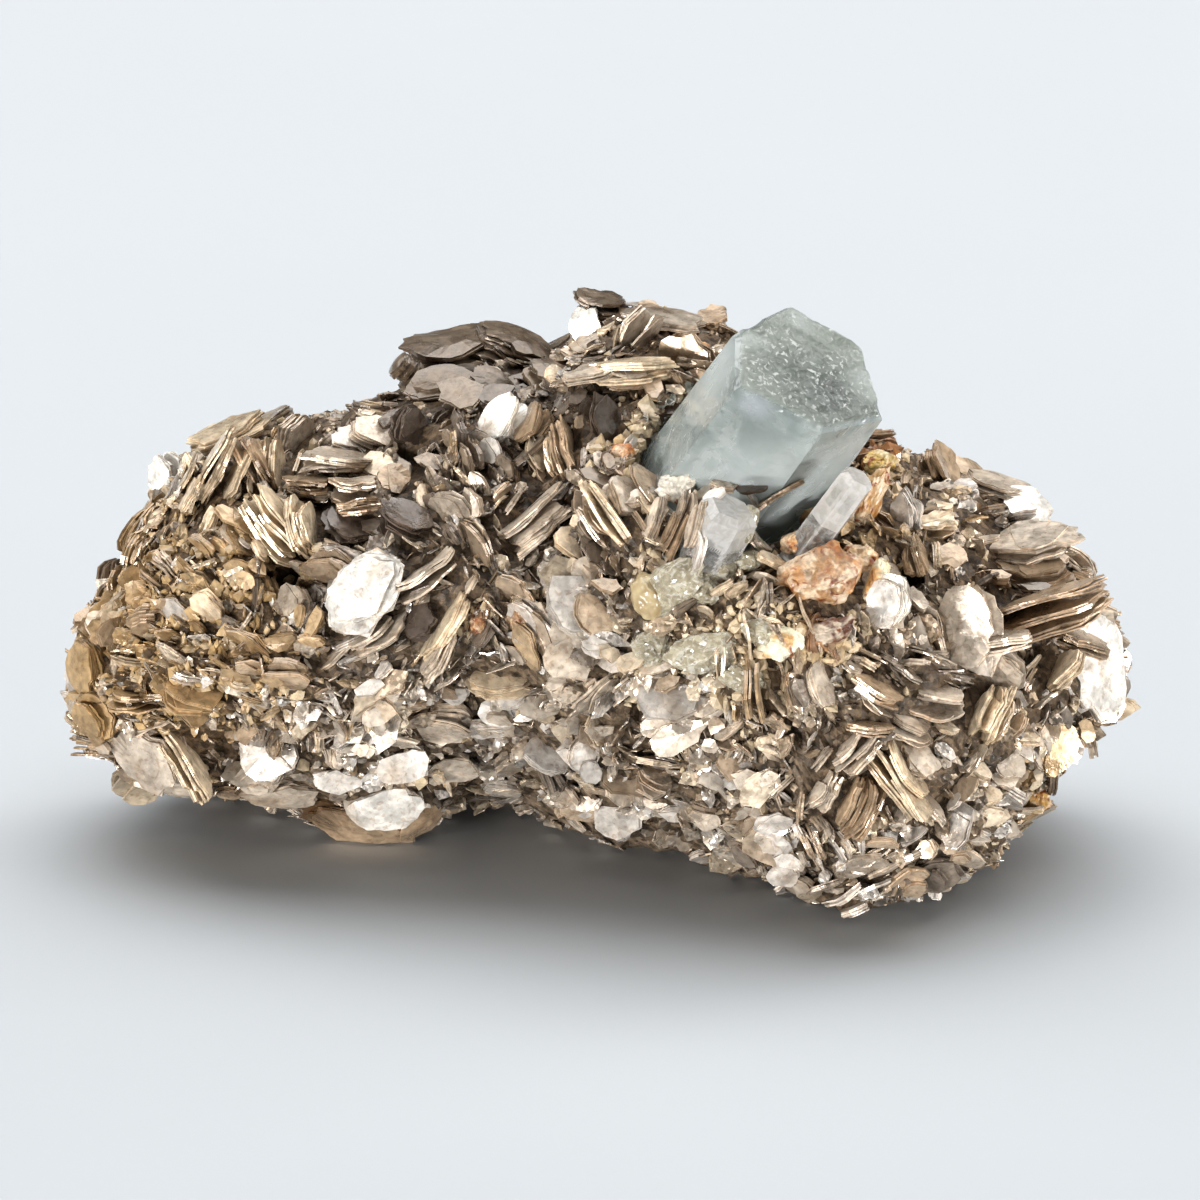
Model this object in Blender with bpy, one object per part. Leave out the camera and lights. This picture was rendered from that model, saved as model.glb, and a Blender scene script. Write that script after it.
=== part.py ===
"""Aquamarine on matrix: a mica rock with its crystals, in metres, +Z up.

The rock stands on a flat patch, its show side toward -Y. Most places are given in the show plane, an upright
sheet seen square-on from 20 degrees above level: across to the right, up the sheet, and out toward the eye,
all in millimetres from a point near the middle of the rock.
"""

import math
import random

import bmesh
import bpy
from mathutils import Matrix, Vector, noise
from mathutils.bvhtree import BVHTree

MM = 0.001
SIGHT = math.radians(20.0)  # how far above level the show side is seen from
GROUND = -31.5  # height of the resting plane below the middle of the show plane
GAP = 0.3  # clearance between a crystal and its socket

# The rock in upright sections, left to right.
# across, crest and underside in the show plane, half depth, middle depth, backward heel of the lower half,
# backward rake of the upper half
SECTIONS = (
    (-59.2, -3.6, -14.2, 7.0, 8.0, 0.20, 0.30),
    (-56.0, 2.2, -17.8, 12.0, 8.0, 0.40, 0.40),
    (-51.5, 9.0, -20.8, 16.0, 8.0, 0.55, 0.40),
    (-46.5, 17.0, -21.9, 19.0, 7.5, 0.62, 0.40),
    (-41.0, 20.2, -22.7, 20.5, 7.5, 0.64, 0.40),
    (-35.5, 20.6, -24.0, 21.5, 7.0, 0.64, 0.40),
    (-30.0, 21.2, -26.4, 22.0, 6.5, 0.62, 0.40),
    (-24.5, 23.4, -27.4, 22.5, 6.0, 0.60, 0.40),
    (-19.0, 26.0, -26.2, 23.0, 6.5, 0.62, 0.40),
    (-15.5, 27.6, -23.2, 23.5, 7.0, 0.64, 0.40),
    (-9.5, 28.4, -23.6, 24.0, 6.5, 0.60, 0.40),
    (-5.5, 28.8, -25.8, 24.5, 5.5, 0.54, 0.40),
    (-1.5, 32.4, -27.8, 25.5, 4.5, 0.44, 0.38),
    (2.5, 33.2, -28.1, 26.0, 4.0, 0.38, 0.36),
    (8.0, 31.4, -28.6, 26.5, 3.0, 0.32, 0.34),
    (14.0, 30.6, -30.6, 27.0, 1.2, 0.18, 0.30),
    (20.0, 23.0, -32.8, 27.0, -0.8, 0.08, 0.18),
    (27.0, 17.6, -36.3, 26.5, -1.8, 0.00, 0.12),
    (33.5, 16.8, -34.0, 26.0, -0.8, 0.05, 0.16),
    (39.0, 15.0, -31.6, 24.5, 1.0, 0.10, 0.24),
    (44.5, 12.0, -28.6, 22.0, 2.5, 0.22, 0.32),
    (50.0, 9.2, -21.4, 18.0, 3.5, 0.35, 0.35),
    (54.5, 3.4, -15.8, 12.5, 4.0, 0.35, 0.35),
    (58.6, -2.6, -11.6, 7.0, 4.0, 0.20, 0.30),
)
ROUNDNESS = 2.25  # 2 is an ellipse, more is squarer
SLICES = 31
RING = 30
END_EASE = 0.06  # slices stand closer toward the ends, and stop this share of a half turn before them
END_POINT = 1.2  # how far past its end ring the rock closes in a point
BACK_WALL = 0.92  # the back ends at this share of the half depth, as a steep broken wall
GROUND_BLOCK = (200, 200, 40)  # what is below the resting plane and is cut off
LUMPS = ((15.0, 1.9), (6.5, 1.0))  # spacing and height of the rock's lumps
# Hollows and swellings of the show side: across, up, radius, how far out
SWELLINGS = (
    (17.4, 7.4, 3.8, -7.0),
    (3.9, 19.0, 5.0, -3.5),
    (-21.0, 15.0, 3.0, -3.5),
    (-34.5, 2.8, 3.0, -3.0),
    (34.0, 2.2, 2.6, -3.5),
    (23.5, -1.0, 7.0, 2.0),
    (-50.0, 0.0, 8.0, 1.5),
    (4.5, -18.0, 10.0, 1.5),
)

# Mica books, each a pack of sheets.
# across, up, out from the rock face, half length along its edge line, half width, thickness,
# lean of its face from the eye, direction in the show plane that the face leans to
BOOKS = {
    "top rosette": (
        (-16.5, 28.2, -1.0, 6.1, 5.0, 3.6, 66, 96),
        (-9.8, 29.1, -2.0, 4.6, 4.2, 2.8, 62, 72),
        (-17.8, 24.3, 2.5, 3.9, 2.3, 2.0, 40, 100),
        (-11.8, 24.2, 2.0, 2.6, 2.2, 1.8, 40, 60),
        (-5.4, 24.9, 1.5, 3.2, 2.4, 2.0, 50, 65),
        (-21.9, 26.1, 0.0, 1.8, 2.2, 2.4, 66, 140),
    ),
    "peak": (
        (0.4, 33.1, -1.0, 3.4, 3.2, 2.0, 70, 80),
        (-1.1, 31.3, 1.5, 2.2, 1.9, 2.4, 30, 190),
        (6.7, 31.1, -1.0, 5.4, 4.5, 1.8, 70, 82),
        (5.8, 32.7, -1.5, 1.7, 1.8, 1.4, 60, 85),
        (12.9, 30.9, -1.0, 2.0, 2.5, 2.8, 60, 100),
        (3.1, 25.6, 2.0, 6.0, 2.2, 1.8, 76, 94),
        (-2.0, 27.9, 0.5, 2.6, 2.4, 1.4, 62, 105),
    ),
    "centre books": (
        (-10.7, 19.5, 1.5, 3.3, 3.0, 3.6, 58, 150),
        (-7.4, 19.6, 1.5, 3.4, 2.8, 2.4, 74, 148),
        (0.3, 19.6, 0.0, 3.6, 2.4, 2.0, 38, 10),
        (-3.8, 16.2, 0.5, 3.6, 2.2, 1.6, 70, 20),
        (-7.0, 8.4, 1.5, 5.0, 3.5, 3.2, 76, 130),
        (0.7, 9.3, 2.2, 5.8, 1.8, 1.7, 70, 35),
        (2.5, 11.2, 1.0, 2.8, 2.4, 2.0, 50, 50),
    ),
    "left hump": (
        (-48.7, 14.3, 1.0, 2.4, 2.2, 2.2, 40, 195),
        (-42.1, 18.5, 0.5, 6.4, 5.0, 1.8, 68, 110),
        (-42.1, 14.5, 2.5, 4.9, 4.0, 3.0, 80, 152),
        (-45.5, 11.8, 2.5, 2.4, 2.5, 1.2, 80, 152),
        (-38.2, 15.4, 2.5, 3.7, 3.5, 2.2, 78, 26),
        (-37.0, 15.3, 1.5, 3.4, 3.0, 2.2, 74, 2),
        (-34.5, 18.1, 1.0, 3.0, 2.5, 1.6, 60, 340),
        (-35.9, 8.3, 2.0, 4.8, 3.2, 3.4, 72, 41),
        (-33.3, 8.3, 2.5, 3.6, 3.0, 2.4, 70, 10),
    ),
    "left fan": (
        (-29.0, 15.6, 1.5, 4.6, 4.5, 1.6, 76, 85),
        (-32.7, 12.8, 3.0, 2.6, 3.0, 1.4, 82, 88),
        (-27.7, 12.6, 2.0, 3.2, 4.0, 1.6, 80, 88),
        (-26.8, 10.6, 1.5, 3.2, 3.5, 1.4, 78, 100),
        (-27.7, 8.0, 0.0, 3.4, 3.0, 2.2, 50, 85),
        (-21.5, 8.5, 0.5, 3.8, 3.0, 2.4, 45, 60),
        (-22.9, 13.2, 0.5, 2.2, 2.2, 2.0, 30, 80),
        (-25.5, 18.5, 1.0, 3.2, 2.4, 1.8, 38, 60),
        (-21.2, 19.2, 1.0, 2.8, 2.6, 2.0, 32, 0),
    ),
    "front fan": (
        (-26.4, 0.4, 2.0, 4.6, 4.0, 2.0, 28, 135),
        (-19.0, 2.7, 1.0, 5.0, 2.8, 1.3, 78, 125),
        (-24.5, -3.6, 1.0, 4.6, 2.8, 1.5, 74, 128),
        (-16.2, -2.2, 1.2, 5.0, 3.0, 1.7, 76, 148),
        (-17.8, -5.6, 1.2, 4.0, 2.6, 1.4, 76, 152),
        (-19.6, -2.5, 1.0, 2.4, 2.2, 1.6, 36, 150),
        (-11.0, -9.0, 0.8, 4.6, 2.4, 2.0, 40, 95),
        (-6.0, -17.6, 1.0, 3.0, 2.0, 1.8, 30, 70),
    ),
    "far left": (
        (-57.3, -7.6, 0.5, 3.6, 2.8, 2.6, 50, 190),
        (-56.5, -12.9, 0.5, 3.0, 2.7, 2.4, 46, 215),
        (-50.2, -17.5, 1.0, 5.4, 4.2, 3.0, 40, 225),
        (-46.7, -17.4, 2.5, 5.6, 3.2, 1.7, 76, 37),
        (-47.3, -20.3, 0.5, 4.0, 2.6, 1.8, 60, 258),
    ),
    "bottom shell": (
        (-24.2, -22.9, 1.0, 4.4, 2.8, 1.8, 24, 268),
        (-26.4, -25.2, 0.0, 7.0, 4.2, 2.4, 58, 262),
        (-20.7, -24.5, 0.5, 3.0, 3.0, 2.2, 58, 300),
        (-36.0, -21.4, 0.8, 5.2, 3.0, 2.0, 56, 268),
    ),
    "right back fan": (
        (47.9, 10.3, 1.5, 3.4, 2.8, 1.8, 30, 60),
        (47.7, 6.4, 3.0, 6.6, 4.0, 1.8, 66, 96),
        (45.2, 12.6, -1.0, 4.4, 3.5, 1.7, 70, 75),
        (40.8, 12.2, 0.5, 2.0, 1.8, 1.4, 50, 100),
        (37.6, 14.7, 0.5, 3.0, 2.8, 3.0, 68, 20),
        (34.0, 9.7, 1.5, 2.8, 1.9, 2.2, 32, 185),
        (37.5, 8.4, 1.5, 2.6, 2.2, 1.2, 60, 95),
        (34.6, 4.8, 1.5, 2.4, 2.2, 1.8, 72, 15),
        (48.5, 3.1, 1.0, 4.6, 3.2, 2.0, 58, 85),
        (31.8, 0.4, 2.0, 3.2, 2.4, 1.6, 28, 170),
    ),
    "right rosette": (
        (40.5, -2.5, 1.5, 5.4, 4.4, 2.4, 26, 185),
        (48.2, -1.6, 3.0, 8.8, 4.6, 2.6, 74, 109),
        (54.2, -7.1, -1.0, 6.6, 6.0, 2.6, 42, 5),
        (44.0, -4.7, 4.0, 4.2, 3.0, 1.3, 74, 99),
        (53.4, -4.5, 2.5, 3.8, 3.0, 1.6, 74, 70),
        (43.5, -7.6, 1.0, 3.8, 3.0, 2.0, 38, 235),
        (51.1, -8.0, 2.5, 3.0, 2.6, 1.4, 74, 145),
        (42.9, -12.5, 2.0, 3.7, 3.0, 3.0, 76, 152),
        (44.7, -18.3, 0.5, 2.7, 2.3, 1.8, 32, 60),
        (50.4, -15.8, 0.5, 3.6, 2.8, 2.2, 36, 350),
    ),
    "lower right fan": (
        (33.0, -19.8, 2.0, 4.6, 3.5, 2.6, 74, 35),
        (27.9, -16.7, 1.5, 3.6, 3.0, 2.0, 72, 137),
        (28.2, -22.5, 1.5, 4.4, 3.2, 3.0, 72, 158),
        (34.9, -17.6, 0.5, 3.4, 2.8, 1.8, 36, 45),
        (35.9, -22.5, 1.5, 3.2, 2.6, 1.2, 76, 40),
        (29.4, -14.0, 1.5, 2.7, 2.2, 1.1, 78, 86),
        (33.5, -13.6, 0.5, 3.4, 2.6, 1.6, 55, 65),
        (30.3, -10.0, 1.5, 3.6, 2.6, 1.3, 70, 60),
        (36.8, -10.9, 1.0, 4.2, 3.5, 1.5, 68, 82),
        (24.5, -20.7, 1.0, 2.8, 2.4, 1.6, 68, 150),
        (23.6, -9.3, 1.0, 3.2, 2.2, 1.8, 48, 20),
    ),
}
BOOK_SINK = 1.0  # each stands this much deeper in the rock
CORNER_SHIFT = 0.16  # a plate's corners leave even spacing by this share of a side
CORNER_REACH = (0.90, 1.12)
PLAIN_LEVELS = ((-0.5, 0.93), (0.5, 1.0))  # share of the thickness, and share of the outline there
STEPPED_FROM = 2.8  # a book this thick shows a second, smaller pack of sheets on its face
STEPPED_LEVELS = ((-0.5, 0.94), (0.1, 1.0), (0.1, 0.80), (0.5, 0.74))
SMALL_BOOKS = 112  # smaller books between and behind the named ones
SMALL_RANGE = (-0.30, 1.42)  # where they stand round a section, in half turns from the back over the crest
SMALL_LENGTH = (2.2, 4.4)
SMALL_WIDTH = (0.70, 0.95)  # share of the length
SMALL_THICK = (1.0, 2.0)
SMALL_TILT = (20, 78)  # degrees that their faces turn from the rock's own
FLAT_TILT = (5, 35)  # the same round the rim of the show side, where they lie flatter
RIM_FACING = 0.35  # the rim is where the rock's face turns from the eye by more than this cosine
LOWEST_SMALL = 5.0  # none stands lower than this over the resting plane
SPACING = 5.2  # least distance between a small book and any other
CLEAR_OF_CRYSTALS = 4.0  # small books keep this far from the crystals' faces
FAR = 200.0  # further out than anything
INWARD_STEPS = 40
INWARD_PULL = 0.3  # a place past the rock's edge is drawn in by up to this share of its across

# Crystals: across, up and out of the tip's middle, radius, length, tip lean from the eye and direction
AQUAMARINE = (23.2, 24.9, 22.0, 9.8, 28.0, 50.0, 54.0)
RIGHT_CRYSTAL = (28.3, 13.5, 25.0, 2.1, 15.0, 60.0, 54.0)
FRONT_CRYSTAL = (14.4, 10.2, 25.0, 3.3, 13.0, 58.0, 62.0)
# Their corners round the axis: turn from the show plane's edge of the prism, and share of the radius
AQUAMARINE_CORNERS = ((12, 0.97), (74, 1.03), (129, 1.05), (184, 0.96), (238, 1.10), (307, 0.80))
RIGHT_CORNERS = ((25, 1.0), (85, 1.0), (145, 1.0), (205, 1.0), (265, 1.0), (325, 1.0))
FRONT_CORNERS = ((5, 1.05), (62, 0.95), (125, 1.0), (185, 1.0), (248, 1.05), (305, 0.95))
# Share of the radius at the root, then rings at the tip: drop from the end and share of the radius
AQUAMARINE_TAPER = 1.06
AQUAMARINE_TIP = ((1.2, 1.0), (0.0, 0.92))
RIGHT_TAPER = 1.05
RIGHT_TIP = ((0.7, 1.0), (0.0, 0.7))
FRONT_TAPER = 1.0
FRONT_TIP = ((0.9, 1.0), (0.0, 0.72))
# Rounded masses: across, up, out, the three radii, turn in the show plane and depth of their dents
FRONT_LUMP = (11.2, 0.9, 22.0, (2.4, 2.9, 3.0), 60.0, 0.20)
BEAD = (5.3, 0.4, 22.5, (1.9, 2.6, 2.4), 15.0, 0.15)
KNOB = (24.0, 2.6, 22.5, (5.0, 3.4, 4.0), 12.0, 0.45)
DENT_SCALE = 2.3


def show(across, up, out):
    """A point given in the show plane, as a place in space, in millimetres above the resting plane."""
    return Vector((
        across,
        up * math.sin(SIGHT) - out * math.cos(SIGHT),
        up * math.cos(SIGHT) + out * math.sin(SIGHT) - GROUND,
    ))


EYE = (show(0, 0, 1) - show(0, 0, 0)).normalized()
UP = (show(0, 1, 0) - show(0, 0, 0)).normalized()
ACROSS = Vector((1, 0, 0))


def leaning(lean, toward):
    """The direction that leaves the eye line by lean degrees, toward an angle of the show plane."""
    turn = math.radians(toward)
    aside = math.cos(turn) * ACROSS + math.sin(turn) * UP
    return math.cos(math.radians(lean)) * EYE + math.sin(math.radians(lean)) * aside


def clear_scene():
    for obj in list(bpy.data.objects):
        bpy.data.objects.remove(obj)


def material(name, colour, roughness, transmission=0.0):
    made = bpy.data.materials.new(name)
    made.use_nodes = True
    shader = made.node_tree.nodes["Principled BSDF"]
    shader.inputs["Base Color"].default_value = (*colour, 1.0)
    shader.inputs["Roughness"].default_value = roughness
    shader.inputs["Metallic"].default_value = 0.0
    shader.inputs["Transmission Weight"].default_value = transmission
    return made


def object_from(bm, name, finish=None):
    """A mesh object from millimetres, its faces turned outward."""
    bmesh.ops.recalc_face_normals(bm, faces=bm.faces)
    bmesh.ops.scale(bm, vec=(MM, MM, MM), verts=bm.verts)
    mesh = bpy.data.meshes.new(name)
    bm.to_mesh(mesh)
    bm.free()
    obj = bpy.data.objects.new(name, mesh)
    bpy.context.scene.collection.objects.link(obj)
    if finish:
        mesh.materials.append(finish)
    return obj


def apply_modifiers(obj):
    graph = bpy.context.evaluated_depsgraph_get()
    made = bpy.data.meshes.new_from_object(obj.evaluated_get(graph))
    obj.modifiers.clear()
    obj.data = made


def combine(obj, tools, operation):
    """Joins the tools to the object, or cuts them from it, and clears them away."""
    group = bpy.data.collections.new("tools")
    bpy.context.scene.collection.children.link(group)
    for tool in tools:
        group.objects.link(tool)
    boolean = obj.modifiers.new(operation.lower(), "BOOLEAN")
    boolean.operation = operation
    boolean.operand_type = "COLLECTION"
    boolean.collection = group
    boolean.solver = "EXACT"
    apply_modifiers(obj)
    for tool in tools:
        bpy.data.objects.remove(tool)
    bpy.data.collections.remove(group)


def section_at(across):
    """The section values at this place, between the two nearest sections."""
    for left, right in zip(SECTIONS, SECTIONS[1:]):
        if across <= right[0]:
            break
    share = min(max((across - left[0]) / (right[0] - left[0]), 0.0), 1.0)
    return [a + (b - a) * share for a, b in zip(left, right)]


def section_point(across, angle):
    """A point of the rock's upright section: angle 0 is the back, 90 the crest, 180 the front."""
    _, crest, underside, depth, middle, heel, rake = section_at(across)
    half = (crest - underside) / 2
    power = 2 / ROUNDNESS
    swell = ROUNDNESS / (ROUNDNESS - 1)
    cosine, sine = math.cos(angle), math.sin(angle)
    back = depth * math.copysign(abs(cosine) ** power, cosine)
    lean = rake if sine > 0 else -heel
    rise = math.cos(SIGHT) + lean * math.sin(SIGHT)
    height = (half ** swell - (depth * math.sin(SIGHT)) ** swell) ** (1 / swell) / rise
    level = ((crest + underside) / 2 - middle * math.sin(SIGHT)) / math.cos(SIGHT)
    lift = height * math.copysign(abs(sine) ** power, sine)
    return Vector((across, middle + min(back + lean * lift, BACK_WALL * depth), level + lift - GROUND))


def lumpy(point, centre):
    """The point moved in or out along its line from the centre by the rock's lumps, and by its hollows."""
    outward = (point - centre).normalized()
    moved = point + outward * sum(size * noise.noise(point / spacing) for spacing, size in LUMPS)
    facing = max(outward.dot(EYE), 0.0)
    for across, up, radius, out in SWELLINGS:
        aside = Vector(((point - show(across, up, 0)).dot(ACROSS), (point - show(across, up, 0)).dot(UP)))
        moved += EYE * (facing * out * math.exp(-aside.length_squared / radius ** 2))
    return moved


def rock_mesh():
    """The rock's mass without its books: a loft through the sections, closed at both ends."""
    bm = bmesh.new()
    first, last = SECTIONS[0][0], SECTIONS[-1][0]
    rings = []
    for index in range(SLICES):
        turned = math.pi * (END_EASE + (1 - 2 * END_EASE) * index / (SLICES - 1))
        across = first + (last - first) * (0.5 - 0.5 * math.cos(turned))
        points = [section_point(across, math.tau * turn / RING) for turn in range(RING)]
        centre = sum(points, Vector()) / RING
        rings.append([bm.verts.new(lumpy(point, centre)) for point in points])
    for ring, following in zip(rings, rings[1:]):
        for turn in range(RING):
            beyond = (turn + 1) % RING
            bm.faces.new((ring[turn], ring[beyond], following[beyond], following[turn]))
    for ring, shift in ((rings[0], -END_POINT), (rings[-1], END_POINT)):
        middle = sum((corner.co for corner in ring), Vector()) / RING
        tip = bm.verts.new(middle + shift * ACROSS)
        for turn in range(RING):
            bm.faces.new((ring[turn], ring[(turn + 1) % RING], tip))
    bmesh.ops.triangulate(bm, faces=bm.faces)
    bmesh.ops.recalc_face_normals(bm, faces=bm.faces)
    return bm


def face_depth(tree, across, up):
    """How far out the rock lies behind this place, stepping inward where the place is past its edge."""
    _, crest, underside, *_ = section_at(across)
    middle = (crest + underside) / 2
    for step in range(INWARD_STEPS):
        share = step / INWARD_STEPS
        start = show(across * (1 - INWARD_PULL * share), up + (middle - up) * share, FAR)
        hit = tree.ray_cast(start, -EYE)[0]
        if hit:
            return (hit - show(0, 0, 0)).dot(EYE)
    return 0.0


def mica_book(centre, normal, along, half_length, half_width, thick, draw, sides=6):
    """A pack of mica sheets: an irregular six-sided plate, a thick one with a smaller step on its face."""
    beside = normal.cross(along).normalized()
    corners = []
    for corner in range(sides):
        angle = math.tau * (corner + 0.5 + draw.uniform(-CORNER_SHIFT, CORNER_SHIFT)) / sides
        reach = draw.uniform(*CORNER_REACH)
        corners.append((reach * half_length * math.cos(angle), reach * half_width * math.sin(angle)))
    bm = bmesh.new()
    rings = []
    for level, size in (STEPPED_LEVELS if thick >= STEPPED_FROM else PLAIN_LEVELS):
        base = centre + normal * (level * thick)
        rings.append([bm.verts.new(base + along * (x * size) + beside * (y * size)) for x, y in corners])
    for ring, above in zip(rings, rings[1:]):
        for corner in range(sides):
            beyond = (corner + 1) % sides
            bm.faces.new((ring[corner], ring[beyond], above[beyond], above[corner]))
    bm.faces.new(list(reversed(rings[0])))
    bm.faces.new(rings[-1])
    return object_from(bm, "book")


def named_books(tree):
    """The books of each cluster, and the places of their middles."""
    draw = random.Random(7)
    made, places = [], []
    for cluster in BOOKS.values():
        for across, up, out, half_length, half_width, thick, lean, toward in cluster:
            centre = show(across, up, face_depth(tree, across, up) + out - BOOK_SINK)
            turn = math.radians(toward)
            along = -math.sin(turn) * ACROSS + math.cos(turn) * UP
            normal = leaning(lean, toward)
            made.append(mica_book(centre, normal, along, half_length, half_width, thick, draw))
            places.append(centre)
    return made, places


def crystal_clearance(point):
    """Distance from the point to the nearest crystal's surface, about."""
    nearest = FAR
    for across, up, out, radius, length, lean, toward in (AQUAMARINE, RIGHT_CRYSTAL, FRONT_CRYSTAL):
        tip = show(across, up, out)
        axis = leaning(lean, toward)
        along = min(max((tip - point).dot(axis), 0.0), length)
        nearest = min(nearest, (point - (tip - axis * along)).length - radius)
    for across, up, out, radii, _, _ in (FRONT_LUMP, BEAD, KNOB):
        nearest = min(nearest, (point - show(across, up, out)).length - max(radii))
    return nearest


def small_books(tree, places):
    """Smaller books all round the rock, standing out of it at odd angles and clear of the named ones."""
    draw = random.Random(23)
    made = []
    first, last = SECTIONS[0][0], SECTIONS[-1][0]
    while len(made) < SMALL_BOOKS:
        across = draw.uniform(first + 2, last - 2)
        start = section_point(across, draw.uniform(*SMALL_RANGE) * math.pi)
        place, outward, *_ = tree.find_nearest(start)
        leaf = draw.uniform(*SMALL_LENGTH)
        thick = draw.uniform(*SMALL_THICK)
        aside = outward.orthogonal()
        aside.rotate(Matrix.Rotation(draw.uniform(0, math.tau), 3, outward))
        rim = abs(outward.dot(EYE)) < RIM_FACING
        tilt = math.radians(draw.uniform(*(FLAT_TILT if rim else SMALL_TILT)))
        normal = (math.cos(tilt) * outward + math.sin(tilt) * aside).normalized()
        along = normal.cross(outward).normalized()
        near = min((place - other).length for other in places)
        if near < SPACING or crystal_clearance(place) < CLEAR_OF_CRYSTALS or place.z < LOWEST_SMALL:
            continue
        places.append(place)
        width = leaf * draw.uniform(*SMALL_WIDTH)
        made.append(mica_book(place, normal, along, leaf, width, thick, draw, sides=5))
    return made


def keep_main_body(obj):
    """Clears away splinters that a cut has parted from the solid."""
    bm = bmesh.new()
    bm.from_mesh(obj.data)
    left = set(bm.verts)
    bodies = []
    while left:
        seed = left.pop()
        body, edge = {seed}, [seed]
        while edge:
            for link in edge.pop().link_edges:
                for vert in link.verts:
                    if vert in left:
                        left.remove(vert)
                        body.add(vert)
                        edge.append(vert)
        bodies.append(body)
    main = max(bodies, key=len)
    bmesh.ops.delete(bm, geom=[vert for vert in bm.verts if vert not in main], context="VERTS")
    bmesh.ops.triangulate(bm, faces=bm.faces)
    bm.to_mesh(obj.data)
    bm.free()


def mica_matrix(finish, sockets):
    """The rock with its books grown on, its resting patch cut flat and the crystals' sockets cut out."""
    bm = rock_mesh()
    tree = BVHTree.FromBMesh(bm)
    rock = object_from(bm, "mica_matrix", finish)
    books, places = named_books(tree)
    books += small_books(tree, places)
    combine(rock, books, "UNION")
    bm = bmesh.new()
    bmesh.ops.create_cube(bm, size=1.0, matrix=Matrix.Diagonal((*GROUND_BLOCK, 1)))
    bmesh.ops.translate(bm, vec=(0, 0, -GROUND_BLOCK[2] / 2), verts=bm.verts)
    ground = object_from(bm, "ground")
    combine(rock, [ground] + sockets, "DIFFERENCE")
    keep_main_body(rock)
    rock.data.materials.clear()
    rock.data.materials.append(finish)
    return rock


def hexagonal_prism(crystal, corners, taper, tip, name, finish=None, grow=0.0):
    """A six-sided prism from its root to its tip."""
    across, up, out, radius, length, lean, toward = crystal
    axis = leaning(lean, toward)
    end = show(across, up, out) + axis * grow
    turn = math.radians(toward)
    first = (math.sin(turn) * ACROSS - math.cos(turn) * UP).normalized()
    second = axis.cross(first)
    radius += grow / math.cos(math.pi / 6)
    bm = bmesh.new()
    rings = []
    for drop, share in ((length + 2 * grow, taper), *tip):
        ring = []
        for degrees, reach in corners:
            angle = math.radians(degrees)
            aside = math.cos(angle) * first + math.sin(angle) * second
            ring.append(bm.verts.new(end - axis * drop + radius * reach * share * aside))
        rings.append(ring)
    for ring, above in zip(rings, rings[1:]):
        for corner in range(6):
            beyond = (corner + 1) % 6
            bm.faces.new((ring[corner], ring[beyond], above[beyond], above[corner]))
    bm.faces.new(list(reversed(rings[0])))
    bm.faces.new(rings[-1])
    return object_from(bm, name, finish)


def aquamarine(finish=None, grow=0.0):
    """The large prism, with a narrow bevel round its flat, etched end."""
    shape = (AQUAMARINE, AQUAMARINE_CORNERS, AQUAMARINE_TAPER, AQUAMARINE_TIP)
    return hexagonal_prism(*shape, "aquamarine", finish, grow)


def clear_crystal_right(finish=None, grow=0.0):
    shape = (RIGHT_CRYSTAL, RIGHT_CORNERS, RIGHT_TAPER, RIGHT_TIP)
    return hexagonal_prism(*shape, "clear_crystal_right", finish, grow)


def lump(shape, name, finish=None, grow=0.0):
    """A rounded, dented mass."""
    across, up, out, radii, turn, dents = shape
    bm = bmesh.new()
    bmesh.ops.create_icosphere(bm, subdivisions=2, radius=1.0)
    angle = math.radians(turn)
    wide = math.cos(angle) * ACROSS + math.sin(angle) * UP
    tall = -math.sin(angle) * ACROSS + math.cos(angle) * UP
    for vert in bm.verts:
        swell = 1.0 + dents * noise.noise(vert.co * DENT_SCALE + Vector((across, up, out)))
        x, y, z = ((size * swell + grow) * part for size, part in zip(radii, vert.co))
        vert.co = show(across, up, out) + x * wide + y * tall + z * EYE
    return object_from(bm, name, finish)


def clear_crystal_front(finish=None, grow=0.0):
    """The short clear prism and the rounded clear mass that it grew with."""
    shape = (FRONT_CRYSTAL, FRONT_CORNERS, FRONT_TAPER, FRONT_TIP)
    prism = hexagonal_prism(*shape, "clear_crystal_front", finish, grow)
    combine(prism, [lump(FRONT_LUMP, "mass", None, grow)], "UNION")
    return prism


def albite_bead(finish=None, grow=0.0):
    return lump(BEAD, "albite_bead", finish, grow)


def feldspar_knob(finish=None, grow=0.0):
    """The stained knob, grown round the foot of the right crystal."""
    knob = lump(KNOB, "feldspar_knob", finish, grow)
    combine(knob, [clear_crystal_right(grow=GAP)], "DIFFERENCE")
    return knob


# What makes each crystal, its material, colour, roughness and transmission
CRYSTALS = (
    (aquamarine, "beryl", (0.50, 0.62, 0.64), 0.22, 0.5),
    (clear_crystal_right, "quartz", (0.80, 0.82, 0.80), 0.12, 0.8),
    (clear_crystal_front, "quartz", (0.80, 0.82, 0.80), 0.12, 0.8),
    (albite_bead, "albite", (0.72, 0.62, 0.40), 0.35, 0.0),
    (feldspar_knob, "stained_feldspar", (0.60, 0.36, 0.18), 0.45, 0.0),
)


def centre_on_origin(parts):
    """Moves everything together, so that the middle of the whole stands over the origin."""
    corners = [corner.co for part in parts for corner in part.data.vertices]
    low = [min(corner[axis] for corner in corners) for axis in range(2)]
    high = [max(corner[axis] for corner in corners) for axis in range(2)]
    shift = Vector((-(low[0] + high[0]) / 2, -(low[1] + high[1]) / 2, 0.0))
    for part in parts:
        part.location = shift


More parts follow.
